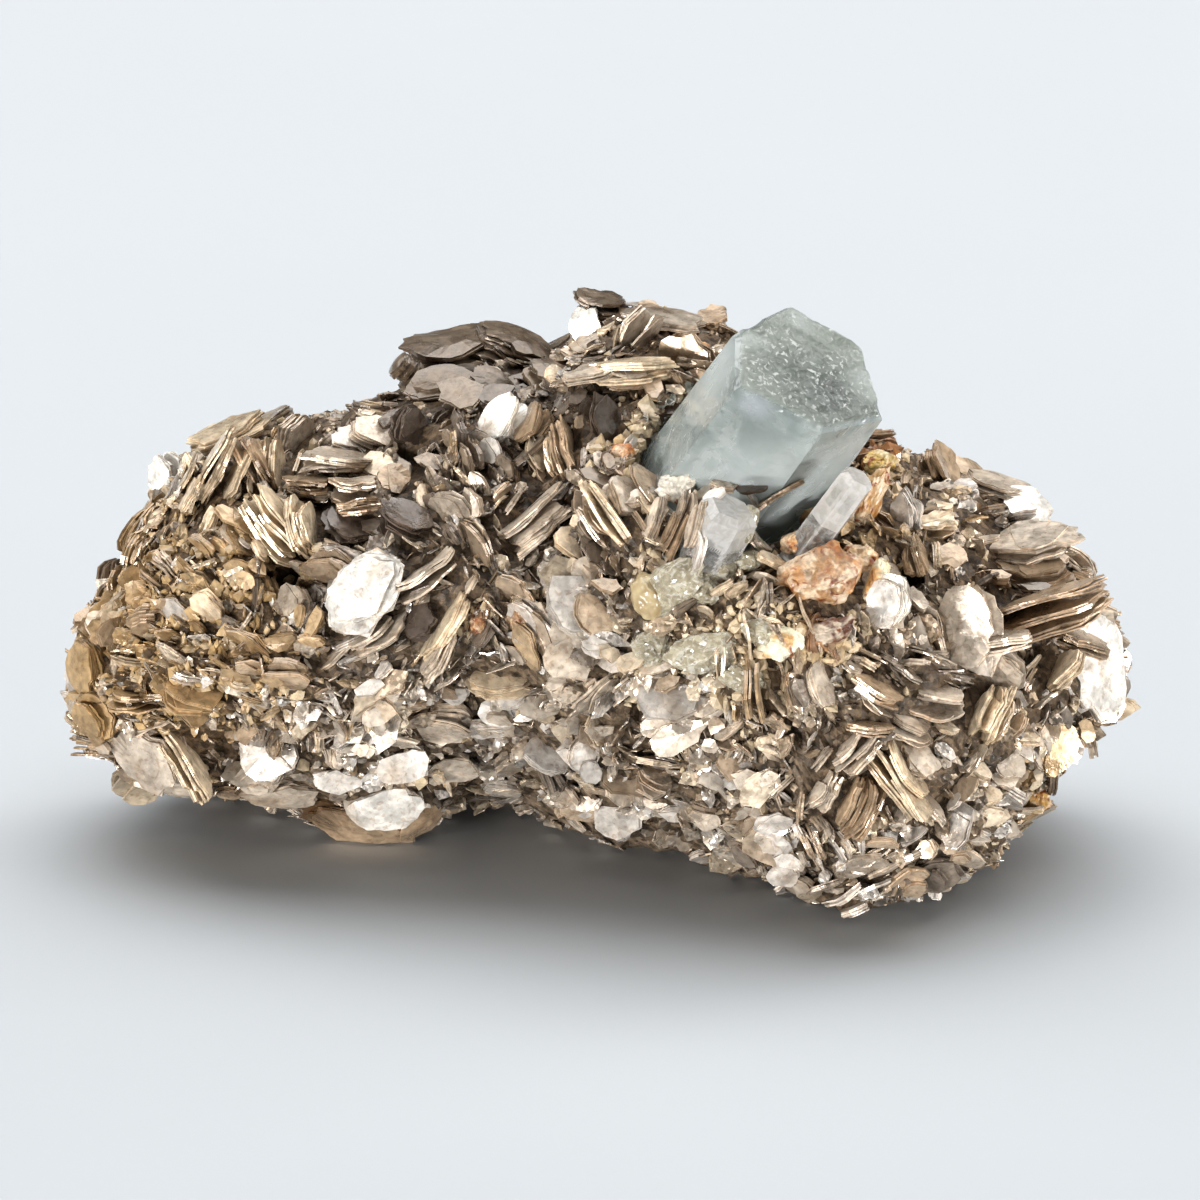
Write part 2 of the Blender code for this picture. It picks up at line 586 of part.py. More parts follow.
def main():
    clear_scene()
    finishes = {}
    sockets, parts = [], []
    for make, slot, colour, roughness, transmission in CRYSTALS:
        if slot not in finishes:
            finishes[slot] = material(slot, colour, roughness, transmission)
        sockets.append(make(grow=GAP))
        sockets[-1].name = "socket"
        parts.append(make(finishes[slot]))
    mica = material("mica", (0.42, 0.37, 0.31), 0.4)
    parts.append(mica_matrix(mica, sockets))
    centre_on_origin(parts)


main()
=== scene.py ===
"""Looks of the aquamarine on mica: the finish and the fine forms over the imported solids.

Most places are given in the show plane, an upright sheet seen square-on from 20 degrees above level: across
to the right, up the sheet, and out toward the eye, all in millimetres from a point near the middle of the
rock.
"""

import math
import random
from functools import lru_cache

import bmesh
import bpy
import numpy as np
from bpy.props import FloatProperty, FloatVectorProperty, IntProperty, PointerProperty
from mathutils import Matrix, Vector, noise
from mathutils.bvhtree import BVHTree


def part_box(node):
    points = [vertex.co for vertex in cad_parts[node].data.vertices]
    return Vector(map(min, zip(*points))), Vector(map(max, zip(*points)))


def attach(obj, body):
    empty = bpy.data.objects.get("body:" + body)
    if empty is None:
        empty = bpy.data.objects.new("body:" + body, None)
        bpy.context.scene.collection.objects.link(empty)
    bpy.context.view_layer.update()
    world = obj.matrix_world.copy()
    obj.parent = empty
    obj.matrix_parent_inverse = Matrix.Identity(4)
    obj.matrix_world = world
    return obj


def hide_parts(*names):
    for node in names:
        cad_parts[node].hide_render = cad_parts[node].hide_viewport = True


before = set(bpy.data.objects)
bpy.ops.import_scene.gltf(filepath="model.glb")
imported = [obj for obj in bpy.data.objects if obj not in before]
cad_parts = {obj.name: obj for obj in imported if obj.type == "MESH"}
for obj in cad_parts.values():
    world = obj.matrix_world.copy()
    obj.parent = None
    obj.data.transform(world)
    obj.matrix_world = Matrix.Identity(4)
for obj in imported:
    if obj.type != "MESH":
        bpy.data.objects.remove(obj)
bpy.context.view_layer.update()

bl_info = {
    "name": "Aquamarine on mica",
    "version": (1, 0, 0),
    "blender": (4, 5, 0),
    "location": "3D View > Sidebar > Specimen",
    "description": "Dresses the solids of an aquamarine specimen in mica, grains, crystals and finishes",
    "category": "Object",
}

MM = 0.001
SIGHT = math.radians(20.0)  # how far above level the show side is seen from
GROUND = -31.5  # height of the resting plane below the middle of the show plane

# The rock in upright sections, left to right.
# across, crest and underside in the show plane, half depth, middle depth, backward heel of the lower half,
# backward rake of the upper half
SECTIONS = (
    (-59.2, -3.6, -14.2, 7.0, 8.0, 0.20, 0.30),
    (-56.0, 2.2, -17.8, 12.0, 8.0, 0.40, 0.40),
    (-51.5, 9.0, -20.8, 16.0, 8.0, 0.55, 0.40),
    (-46.5, 17.0, -21.9, 19.0, 7.5, 0.62, 0.40),
    (-41.0, 20.2, -22.7, 20.5, 7.5, 0.64, 0.40),
    (-35.5, 20.6, -24.0, 21.5, 7.0, 0.64, 0.40),
    (-30.0, 21.2, -26.4, 22.0, 6.5, 0.62, 0.40),
    (-24.5, 23.4, -27.4, 22.5, 6.0, 0.60, 0.40),
    (-19.0, 26.0, -26.2, 23.0, 6.5, 0.62, 0.40),
    (-15.5, 27.6, -23.2, 23.5, 7.0, 0.64, 0.40),
    (-9.5, 28.4, -23.6, 24.0, 6.5, 0.60, 0.40),
    (-5.5, 28.8, -25.8, 24.5, 5.5, 0.54, 0.40),
    (-1.5, 32.4, -27.8, 25.5, 4.5, 0.44, 0.38),
    (2.5, 33.2, -28.1, 26.0, 4.0, 0.38, 0.36),
    (8.0, 31.4, -28.6, 26.5, 3.0, 0.32, 0.34),
    (14.0, 30.6, -30.6, 27.0, 1.2, 0.18, 0.30),
    (20.0, 23.0, -32.8, 27.0, -0.8, 0.08, 0.18),
    (27.0, 17.6, -36.3, 26.5, -1.8, 0.00, 0.12),
    (33.5, 16.8, -34.0, 26.0, -0.8, 0.05, 0.16),
    (39.0, 15.0, -31.6, 24.5, 1.0, 0.10, 0.24),
    (44.5, 12.0, -28.6, 22.0, 2.5, 0.22, 0.32),
    (50.0, 9.2, -21.4, 18.0, 3.5, 0.35, 0.35),
    (54.5, 3.4, -15.8, 12.5, 4.0, 0.35, 0.35),
    (58.6, -2.6, -11.6, 7.0, 4.0, 0.20, 0.30),
)
ROUNDNESS = 2.25  # 2 is an ellipse, more is squarer
SLICES = 31
RING = 30
END_EASE = 0.06  # slices stand closer toward the ends, and stop this share of a half turn before them
END_POINT = 1.2  # how far past its end ring the rock closes in a point
BACK_WALL = 0.92  # the back ends at this share of the half depth, as a steep broken wall
LUMPS = ((15.0, 1.9), (6.5, 1.0))  # spacing and height of the rock's lumps
# Hollows and swellings of the show side: across, up, radius, how far out
SWELLINGS = (
    (17.4, 7.4, 3.8, -7.0),
    (3.9, 19.0, 5.0, -3.5),
    (-21.0, 15.0, 3.0, -3.5),
    (-34.5, 2.8, 3.0, -3.0),
    (34.0, 2.2, 2.6, -3.5),
    (23.5, -1.0, 7.0, 2.0),
    (-50.0, 0.0, 8.0, 1.5),
    (4.5, -18.0, 10.0, 1.5),
)

# Crystals: across, up and out of the tip's middle, radius, length, tip lean from the eye and direction
AQUAMARINE = (23.2, 24.9, 22.0, 9.8, 28.0, 50.0, 54.0)
RIGHT_CRYSTAL = (28.3, 13.5, 25.0, 2.1, 15.0, 60.0, 54.0)
FRONT_CRYSTAL = (14.4, 10.2, 25.0, 3.3, 13.0, 58.0, 62.0)
# Their corners round the axis: turn from the show plane's edge of the prism, and share of the radius
AQUAMARINE_CORNERS = ((12, 0.97), (74, 1.03), (129, 1.05), (184, 0.96), (238, 1.10), (307, 0.80))
RIGHT_CORNERS = ((25, 1.0), (85, 1.0), (145, 1.0), (205, 1.0), (265, 1.0), (325, 1.0))
FRONT_CORNERS = ((5, 1.05), (62, 0.95), (125, 1.0), (185, 1.0), (248, 1.05), (305, 0.95))
# Rings from the root to the tip: drop from the end, and share of the radius
AQUAMARINE_RINGS = ((28.0, 1.06), (1.2, 1.0), (0.0, 0.92))
RIGHT_RINGS = ((15.0, 1.05), (0.7, 1.0), (0.0, 0.7))
FRONT_RINGS = ((13.0, 1.0), (0.9, 1.0), (0.0, 0.72))
# The three prisms, each with its corners and rings
LARGE_PRISM = (AQUAMARINE, AQUAMARINE_CORNERS, AQUAMARINE_RINGS)
RIGHT_PRISM = (RIGHT_CRYSTAL, RIGHT_CORNERS, RIGHT_RINGS)
FRONT_PRISM = (FRONT_CRYSTAL, FRONT_CORNERS, FRONT_RINGS)
PRISMS = (LARGE_PRISM, RIGHT_PRISM, FRONT_PRISM)
# Rounded masses: across, up, out, the three radii, turn in the show plane and depth of their dents
FRONT_LUMP = (11.2, 0.9, 22.0, (2.4, 2.9, 3.0), 60.0, 0.20)
BEAD = (5.3, 0.4, 22.5, (1.9, 2.6, 2.4), 15.0, 0.15)
KNOB = (24.0, 2.6, 22.5, (5.0, 3.4, 4.0), 12.0, 0.45)
DENT_SCALE = 2.3
FINE_DENT_SCALE = 6.0
BREAK_REACH = (0.68, 0.95)  # share of the radius at which a flat break cuts a rounded mass off
# Nothing of the looks lies lower than this over the floor, and a pack whose middle would is left out
FLOOR_GAP = 0.02
LOWEST_CENTRE = 0.6
LOWEST_GROWTH = 0.6  # and nothing grows on skin that is lower than this
# The milky masses that the front crystal grew from: across, up, out, radii, turn and dents
MILKY_MASSES = (
    (8.2, 1.6, 23.3, (3.9, 2.9, 3.0), 45.0, 0.30),
    (12.9, 3.0, 21.4, (2.6, 2.0, 2.0), -20.0, 0.30),
    (15.9, 8.0, 23.0, (1.5, 2.6, 1.6), -28.0, 0.30),
    (16.4, 4.2, 21.4, (1.9, 1.4, 1.3), 20.0, 0.35),
    (22.6, -0.4, 22.0, (3.2, 1.5, 2.0), 15.0, 0.25),
)
# Cracked albite in front of them, in the same terms but out from the rock's face
SUGARY_MASSES = (
    (11.8, -5.8, 0.1, (4.2, 2.6, 1.2), 8.0, 0.40),
    (17.4, -3.6, 0.2, (2.4, 1.6, 1.1), -15.0, 0.40),
    (5.6, -5.6, 0.0, (2.6, 1.9, 1.0), 20.0, 0.40),
    (15.6, -8.6, 0.0, (2.6, 1.6, 0.9), -10.0, 0.40),
)
# Stained masses round the knob and the right crystal, and the colour of each
STAINED_MASSES = (
    (29.4, 10.4, 0.6, (1.5, 4.4, 1.5), -27.0, 0.35, "a27841"),
    (31.2, 15.4, 0.4, (2.0, 1.5, 1.3), 10.0, 0.35, "c0a058"),
    (25.0, -3.5, 0.3, (3.2, 1.5, 1.1), 12.0, 0.40, "522c15"),
    (30.2, 1.8, 0.8, (1.4, 3.0, 1.2), -15.0, 0.20, "c9bb98"),
    (19.6, -4.6, 0.2, (2.6, 1.8, 1.1), 5.0, 0.35, "c0b89b"),
    (22.0, 6.4, 0.4, (2.6, 1.5, 1.5), 25.0, 0.35, "c09364"),
    (28.4, 4.6, 0.5, (2.2, 1.7, 1.4), -30.0, 0.35, "b5864e"),
    (2.4, 16.0, 0.4, (1.7, 1.3, 1.0), 30.0, 0.40, "a86c33"),
    (11.2, 27.9, 0.2, (1.1, 1.0, 0.9), 0.0, 0.30, "b07833"),
    (-8.6, -2.1, 0.3, (1.3, 1.7, 1.0), -25.0, 0.45, "8a6540"),
    (-13.4, -2.7, 0.2, (0.9, 1.0, 0.7), 0.0, 0.40, "8a6844"),
    (48.6, -22.0, 0.0, (1.8, 2.0, 1.0), 20.0, 0.35, "a87f40"),
    (8.4, 12.6, 0.8, (2.2, 1.8, 1.2), 20.0, 0.40, "afa89a"),
)

# Mica books, each a pack of sheets.
# across, up, out from the rock face, half length along its edge line, half width, thickness,
# lean of its face from the eye, direction in the show plane that the face leans to, colour
BOOKS = {
    "top_rosette_books": (
        (-16.5, 28.0, -1.0, 6.0, 4.8, 3.8, 66, 98, "umber"),
        (-9.8, 28.7, -2.0, 4.6, 4.2, 3.2, 65, 70, "umber"),
        (-17.8, 24.3, 2.5, 4.1, 2.5, 2.0, 34, 100, "umber"),
        (-11.8, 24.2, 2.0, 2.8, 2.4, 1.8, 40, 60, "umber"),
        (-5.4, 24.9, 1.5, 3.2, 2.4, 2.0, 50, 65, "umber"),
        (-21.9, 26.1, 0.0, 1.8, 2.2, 2.4, 66, 140, "umber"),
    ),
    "peak_books": (
        (0.4, 33.1, -1.0, 3.4, 3.2, 2.0, 70, 80, "umber"),
        (-1.2, 30.9, 2.8, 2.7, 2.3, 2.4, 24, 190, "white"),
        (6.7, 31.1, -1.0, 5.4, 4.5, 1.8, 70, 82, "silver"),
        (5.8, 32.7, -1.5, 1.7, 1.8, 1.4, 60, 85, "brown"),
        (12.9, 30.9, -1.0, 2.0, 2.5, 2.8, 60, 100, "brown"),
        (3.1, 25.6, 2.0, 6.0, 2.2, 1.8, 76, 94, "cream"),
        (-2.0, 27.9, 0.5, 2.6, 2.4, 1.4, 62, 105, "silver"),
    ),
    "centre_books": (
        (-10.7, 19.5, 1.5, 3.3, 3.0, 3.6, 58, 150, "white"),
        (-7.4, 19.6, 1.5, 3.4, 2.8, 2.4, 74, 148, "brown"),
        (0.3, 19.6, 0.0, 3.6, 2.4, 2.0, 38, 10, "smoky"),
        (-3.8, 16.2, 0.5, 3.6, 2.2, 1.6, 70, 20, "brown"),
        (-7.0, 8.4, 1.5, 5.0, 3.5, 3.2, 76, 130, "silver"),
        (0.7, 9.3, 2.2, 5.8, 1.8, 1.7, 70, 35, "cream"),
        (2.5, 11.2, 1.0, 2.8, 2.4, 2.0, 50, 50, "silver"),
    ),
    "left_hump_books": (
        (-48.7, 14.3, 1.0, 2.6, 2.4, 2.2, 40, 195, "white"),
        (-42.1, 18.5, 0.5, 6.4, 5.0, 1.8, 68, 110, "cream"),
        (-42.1, 14.5, 2.5, 4.9, 4.0, 3.0, 80, 152, "cream"),
        (-45.5, 11.8, 2.5, 2.4, 2.5, 1.2, 80, 152, "cream"),
        (-38.2, 15.4, 2.5, 3.7, 3.5, 2.2, 78, 26, "brown"),
        (-37.0, 15.3, 1.5, 3.4, 3.0, 2.2, 74, 2, "cream"),
        (-34.5, 18.1, 1.0, 3.0, 2.5, 1.6, 60, 340, "silver"),
        (-35.9, 8.3, 2.0, 4.8, 3.2, 3.4, 72, 41, "cream"),
        (-33.3, 8.3, 2.5, 3.6, 3.0, 2.4, 70, 10, "cream"),
    ),
    "left_fan_books": (
        (-29.0, 15.6, 1.5, 4.6, 4.5, 1.6, 76, 85, "silver"),
        (-32.7, 12.8, 3.0, 2.6, 3.0, 1.4, 82, 88, "brown"),
        (-27.7, 12.6, 2.0, 3.2, 4.0, 1.6, 80, 88, "silver"),
        (-26.8, 10.6, 1.5, 3.2, 3.5, 1.4, 78, 100, "brown"),
        (-27.7, 8.0, 0.0, 3.4, 3.0, 2.2, 50, 85, "smoky"),
        (-21.5, 8.5, 0.5, 3.8, 3.0, 2.4, 45, 60, "smoky"),
        (-22.9, 13.2, 0.5, 2.2, 2.2, 2.0, 30, 80, "brown"),
        (-25.5, 18.5, 1.0, 3.2, 2.4, 1.8, 38, 60, "silver"),
        (-21.2, 19.2, 1.0, 2.8, 2.6, 2.0, 32, 0, "smoky"),
    ),
    "front_fan_books": (
        (-26.4, 0.4, 3.2, 5.0, 4.5, 2.2, 26, 135, "white"),
        (-19.0, 2.7, 1.0, 5.0, 2.8, 1.3, 78, 125, "silver"),
        (-24.5, -3.6, 1.0, 4.6, 2.8, 1.5, 74, 128, "silver"),
        (-16.2, -2.2, 1.2, 5.0, 3.0, 1.7, 76, 148, "cream"),
        (-17.8, -5.6, 1.2, 4.0, 2.6, 1.4, 76, 152, "silver"),
        (-19.6, -2.5, 1.0, 2.4, 2.2, 1.6, 36, 150, "smoky"),
        (-11.0, -9.0, 0.8, 4.6, 2.4, 2.0, 40, 95, "cream"),
        (-6.0, -17.6, 1.0, 3.0, 2.0, 1.8, 30, 70, "pearl"),
    ),
    "far_left_books": (
        (-57.3, -7.6, 0.5, 3.6, 2.8, 2.6, 50, 190, "honey"),
        (-56.5, -12.9, 0.5, 3.0, 2.7, 2.4, 46, 215, "honey"),
        (-50.2, -17.5, 1.0, 5.4, 4.2, 3.0, 40, 225, "silver"),
        (-46.7, -17.4, 2.5, 5.6, 3.2, 1.7, 76, 37, "cream"),
        (-47.3, -20.3, 0.5, 4.0, 2.6, 1.8, 60, 258, "silver"),
    ),
    "bottom_shell_books": (
        (-24.2, -22.9, 1.4, 4.6, 3.0, 1.8, 24, 268, "white"),
        (-26.4, -25.2, 0.0, 7.0, 4.2, 2.4, 58, 262, "brown"),
        (-20.7, -24.5, 0.5, 3.0, 3.0, 2.2, 58, 300, "brown"),
        (-36.0, -21.4, 0.8, 5.2, 3.0, 2.0, 56, 268, "silver"),
    ),
    "right_back_books": (
        (47.9, 10.3, 1.5, 3.6, 3.0, 1.8, 30, 60, "white"),
        (47.7, 6.4, 3.0, 6.6, 4.0, 1.8, 66, 96, "silver"),
        (45.2, 12.6, -1.0, 4.4, 3.5, 1.7, 70, 75, "silver"),
        (40.8, 12.2, 0.5, 2.0, 1.8, 1.4, 50, 100, "pearl"),
        (37.6, 14.7, 0.5, 3.0, 2.8, 3.0, 68, 20, "brown"),
        (34.0, 9.7, 1.5, 2.8, 1.9, 2.2, 32, 185, "pearl"),
        (37.5, 8.4, 1.5, 2.6, 2.2, 1.2, 60, 95, "cream"),
        (34.6, 4.8, 1.5, 2.4, 2.2, 1.8, 72, 15, "brown"),
        (48.5, 3.1, 1.0, 4.6, 3.2, 2.0, 58, 85, "brown"),
        (31.6, -0.2, 2.6, 3.9, 3.0, 1.8, 28, 170, "white"),
    ),
    "right_rosette_books": (
        (40.5, -2.5, 3.0, 5.4, 4.4, 2.4, 26, 185, "silver"),
        (48.2, -1.6, 3.0, 8.8, 4.6, 2.6, 74, 109, "brown"),
        (54.2, -7.1, -1.0, 6.6, 6.0, 2.6, 42, 5, "white"),
        (44.0, -4.7, 4.0, 4.2, 3.0, 1.3, 74, 99, "silver"),
        (53.4, -4.5, 2.5, 3.8, 3.0, 1.6, 74, 70, "brown"),
        (43.5, -7.6, 1.0, 3.8, 3.0, 2.0, 38, 235, "silver"),
        (51.1, -8.0, 2.5, 3.0, 2.6, 1.4, 74, 145, "cream"),
        (42.9, -12.5, 2.0, 3.7, 3.0, 3.0, 76, 152, "cream"),
        (44.7, -18.3, 0.5, 2.7, 2.3, 1.8, 32, 60, "silver"),
        (50.4, -15.8, 0.5, 3.6, 2.8, 2.2, 36, 350, "honey"),
    ),
    "lower_right_books": (
        (33.0, -19.8, 2.0, 4.6, 3.5, 2.6, 74, 35, "cream"),
        (27.9, -16.7, 1.5, 3.6, 3.0, 2.0, 72, 137, "silver"),
        (28.2, -22.5, 1.5, 4.4, 3.2, 3.0, 72, 158, "brown"),
        (34.9, -17.6, 0.5, 3.4, 2.8, 1.8, 36, 45, "silver"),
        (35.9, -22.5, 1.5, 3.2, 2.6, 1.2, 76, 40, "silver"),
        (29.4, -14.0, 1.5, 2.7, 2.2, 1.1, 78, 86, "brown"),
        (33.5, -13.6, 0.5, 3.4, 2.6, 1.6, 55, 65, "silver"),
        (30.3, -10.0, 1.5, 3.6, 2.6, 1.3, 70, 60, "brown"),
        (36.8, -10.9, 1.0, 4.2, 3.5, 1.5, 68, 82, "silver"),
        (24.5, -20.7, 1.0, 2.8, 2.4, 1.6, 68, 150, "silver"),
        (23.6, -9.3, 1.0, 3.2, 2.2, 1.8, 48, 20, "silver"),
    ),
}
# Thin blades round the crystals' feet, in the same terms but out from whatever face is nearest there
BLADES = (
    (19.4, 11.4, 0.2, 3.4, 1.5, 0.6, 80, 122, "brown"),
    (17.1, 12.4, 0.0, 2.2, 1.2, 0.5, 50, 100, "smoky"),
    (16.5, 11.2, 0.5, 1.5, 1.0, 0.5, 48, 30, "pearl"),
    (10.0, 12.4, 0.3, 1.5, 0.7, 0.4, 60, 0, "pearl"),
    (6.1, 8.9, 0.6, 3.3, 1.8, 1.4, 72, 160, "silver"),
    (7.9, 7.2, 0.8, 3.4, 1.8, 1.3, 74, 156, "brown"),
    (9.3, 9.8, 0.8, 3.0, 1.7, 1.2, 70, 162, "silver"),
    (11.6, 11.4, 0.5, 2.2, 1.5, 1.0, 60, 120, "silver"),
    (13.6, 12.6, 0.3, 2.0, 1.4, 0.9, 55, 80, "silver"),
    (3.8, 11.0, 0.4, 2.0, 1.2, 0.8, 55, 110, "silver"),
    (17.2, 6.4, 0.6, 2.2, 1.3, 0.9, 72, 40, "silver"),
    (18.8, 4.2, 0.5, 2.0, 1.2, 0.8, 60, 60, "cream"),
    (10.6, 8.4, 0.4, 3.0, 1.3, 1.0, 70, 165, "silver"),
    (11.0, 5.4, 0.5, 2.4, 1.2, 0.8, 66, 172, "pearl"),
    (12.6, 11.4, 0.2, 1.6, 0.9, 0.5, 48, 120, "pearl"),
)
BOOK_SINK = 1.0  # each stands this much deeper in the rock
SMALL_BOOKS = 112  # smaller books between and behind the named ones
SMALL_RANGE = (-0.30, 1.42)  # where they stand round a section, in half turns from the back over the crest
END_ROOM = 2  # and how far they keep from the rock's ends
SMALL_LENGTH = (2.2, 4.4)
SMALL_WIDTH = (0.70, 0.95)  # share of the length
SMALL_THICK = (1.0, 2.0)
SMALL_TILT = (20, 78)  # degrees that their faces turn from the rock's own
FLAT_TILT = (5, 35)  # the same round the rim of the show side, where they lie flatter
RIM_FACING = 0.35  # the rim is where the rock's face turns from the eye by more than this cosine
LOWEST_SMALL = 5.0  # none stands lower than this over the resting plane
SPACING = 5.2  # least distance between a small book and any other
CLEAR_OF_CRYSTALS = 4.0  # small books keep this far from the crystals' faces
SMALL_CORNER_DRAWS = 10  # draws that a small book's solid takes for its corners
FAR = 200.0  # further out than anything
INWARD_STEPS = 40
INWARD_PULL = 0.3  # a place past the rock's edge is drawn in by up to this share of its across

# Clusters of rounder, calmer books, each with the calm of its outlines and the bow of its sheets
CALM_CLUSTERS = {
    "top_rosette_books": (0.7, -0.20),
    "far_left_books": (0.6, -0.10),
    "bottom_shell_books": (0.7, -0.10),
    "centre_books": (0.3, -0.04),
    "right_rosette_books": (0.2, -0.04),
    "front_fan_books": (0.35, 0.0),
}
FAN_RATE = 0.12  # how fast the sheets beside a book open out, in radians for each mm
FAN_MOST = 0.7  # and how far at most
LEAST_ASIDE = 0.2  # a way aside that is shorter than this counts as this long
PAINTED_SHADE_RANGE = (-1.6, 0.1)  # heights over the rock's face, in mm, where the painted shade of the crevices is full and where it is gone
PAINTED_SHADE_LEFT = (0.27, 0.21, 0.15)  # what the painted shade leaves of red, green and blue

BUNDLE = 0.75  # thickness of the bundles that the sheets of a book lie in, in mm
LAYER = 0.26  # spacing of the fine layers seen on the edge of a book, in mm
SCALE_TURN = 0.9  # how far the small scales on a flake turn from its face
OUTLINE_WAVES = ((1, 0.05), (2, 0.08), (3, 0.05), (5, 0.03))  # how often and how far an outline swells
BREAK_LEAST = 0.05  # a break is felt where the outline faces it by more than this cosine
UNBROKEN = 2.0  # reach that is past any outline
# How much sheets vary, first from bundle to bundle and then from sheet to sheet
SLIDE = (0.05, 0.015)  # share of the length and width
SPREAD = (0.05, 0.008)  # radians
CURL = (0.07, 0.01)  # share of the length
OPENING = (0.4, 1.2)  # share of the fan's angle that a pack opens by
RIPPLE = 0.035  # height of the ripples, as a share of the length
RIPPLE_RATE = (3.5, 8.0)
SHEET_HALF = (0.42, 0.54)  # half a sheet's thickness, as a share of the spacing
BRIGHT = (0.80, 1.12)  # brightness of faces
EDGE_BRIGHT = (0.74, 1.12)  # and of edges
HEIGHT_START = 500  # the layers of a pack start anywhere up to this height
RIM_TINT = (1.0, 0.95, 0.90)  # sheet edges are a little browner than faces
BRIGHTEST = 0.85  # no tint passes this

# Holes between the books, where nothing grows, pressed in and darkened with painted shade: across, up and
# radius
HOLES = (
    (-21.0, 15.1, 1.7), (-34.8, 2.6, 1.9), (-7.2, -1.1, 1.1), (2.0, 1.3, 1.1), (4.8, -11.9, 1.5),
    (-42.6, -10.4, 1.1), (-40.6, -10.4, 1.1), (34.2, 2.6, 1.5), (-4.0, 18.0, 1.0), (4.0, 12.8, 0.9),
    (0.0, 22.2, 1.4), (40.5, 4.4, 1.2), (-31.0, 10.2, 1.0), (9.0, 20.8, 1.2), (-13.2, 14.2, 1.1),
    (39.0, -12.4, 1.1), (21.0, -14.0, 1.0),
)
HOLE_DEPTH = 2.0  # how far the skin is pressed in at a hole's middle, in mm
HOLE_PAINTED_SHADE = 0.35  # and the share of its brightness that the painted shade leaves there
HOLE_CLEAR = 0.37  # sheets keep out of a hole where it is deeper than this share

# The rock's own grainy skin, under the sheets
FINE_SLICES = 160
FINE_RING = 180
SKIN_SINK = 0.9  # it lies this much inside the solid
SKIN_GRAINS = ((3.1, 0.75), (1.25, 0.45), (0.6, 0.22))  # spacing and height, in mm
SKIN_BROWN_AND_PAINTED_SHADE = (0.20, 0.165, 0.13)  # painted shade of the gaps between the sheets makes it darker, and it is browner than the sheets that stand on it
SKIN_VARIES = (0.7, 1.25)
BARE_FACING = (-0.5, 0.2)  # facing to the eye where it is barest of sheets, and where it is covered
BARE_LIGHTER = (2.15, 2.3, 2.55)  # where it is barest it is this much lighter and greyer
# Under each crystal's root it is pressed in: share of the radius, how far past the root in mm, and how far
# above the tip as a share of the radius
SOCKET = (1.12, 0.5, 1.0)
# Pale albite grew at the crystals' feet: the same, its colour and how it varies
FOOT = (1.25, 1.0, 0.0)
FOOT_ALBITE = "cfccc0"
FOOT_VARIES = (0.7, 1.1)

# Which colours grow where: colour, across, up, radius, weight. The first line is for the whole rock.
COMMON = {
    "silver": 1.0, "brown": 1.0, "pearl": 0.55, "cream": 0.6, "smoky": 0.45,
    "white": 0.0, "umber": 0.0, "honey": 0.12, "rust": 0.0,
}
ZONES = (
    ("honey", -52.0, -2.0, 9.0, 4.0),
    ("honey", -44.0, 4.0, 8.0, 3.0),
    ("honey", -38.0, -6.0, 8.0, 2.0),
    ("honey", -56.0, -10.0, 6.0, 2.5),
    ("cream", -48.0, -4.0, 10.0, 0.5),
    ("silver", -5.0, -16.0, 16.0, 2.5),
    ("silver", -28.0, -16.0, 12.0, 2.0),
    ("pearl", -10.0, -16.0, 14.0, 1.3),
    ("pearl", 12.0, -22.0, 10.0, 1.2),
    ("silver", 26.0, -16.0, 14.0, 1.8),
    ("smoky", -26.0, 5.0, 6.0, 3.0),
    ("smoky", -6.0, 12.0, 8.0, 2.0),
    ("smoky", 37.0, -8.0, 6.0, 1.5),
    ("umber", -14.0, 26.5, 8.0, 6.0),
    ("brown", 9.5, 28.0, 4.5, 8.0),
    ("umber", -4.0, 15.0, 10.0, 3.0),
    ("honey", -48.0, -6.0, 12.0, 2.5),
    ("brown", 4.0, 21.0, 6.0, 3.0),
    ("brown", 46.0, 4.0, 10.0, 1.5),
    ("cream", 14.0, -4.0, 9.0, 2.5),
    ("cream", -42.0, 13.0, 8.0, 3.0),
    ("pearl", -46.0, 15.0, 6.0, 1.5),
    ("pearl", -28.0, -18.0, 14.0, 1.5),
    ("pearl", 34.0, -18.0, 14.0, 1.2),
    ("cream", 34.0, -18.0, 12.0, 1.0),
    ("rust", -8.5, -2.0, 1.8, 6.0),
    ("rust", -13.5, -2.5, 1.2, 5.0),
    ("rust", 24.0, -3.5, 3.0, 4.0),
    ("rust", 31.0, 16.0, 2.4, 4.0),
    ("rust", 2.0, 16.5, 2.2, 3.0),
    ("honey", 30.0, 8.0, 5.0, 2.5),
    ("honey", 50.0, -19.0, 4.0, 3.0),
)
OWN_BLEND = 0.3  # how much each flake's colour goes toward the usual one around it
OWN_VARIES = (0.72, 1.22)

SEEDS = {
    "skin": 3, "small places": 23, "small tints": 31, "small packs": 32, "flakes": 41, "flake packs": 50,
    "grains": 61, "shards": 81, "shard packs": 90, "blades": 99, "books": 100,
}


def linear(code):
    """An sRGB hex colour as linear red, green and blue."""
    parts = (int(code[at:at + 2], 16) / 255 for at in (0, 2, 4))
    return tuple(part / 12.92 if part <= 0.04045 else ((part + 0.055) / 1.055) ** 2.4 for part in parts)


def colour_property(name, code, description):
    """A colour of the panel, from an sRGB hex colour."""
    return FloatVectorProperty(
        name=name, description=description, subtype="COLOR", size=3, min=0.0, max=1.0, default=linear(code)
    )


def length_property(name, middle, least, most, description):
    """A length of the panel, from millimetres."""
    return FloatProperty(
        name=name, description=description, default=middle * MM, min=least * MM, max=most * MM,
        precision=5, unit="LENGTH",
    )


def count_property(name, count, most, description):
    """A count of the panel."""
    return IntProperty(name=name, description=description, default=count, min=0, max=most)


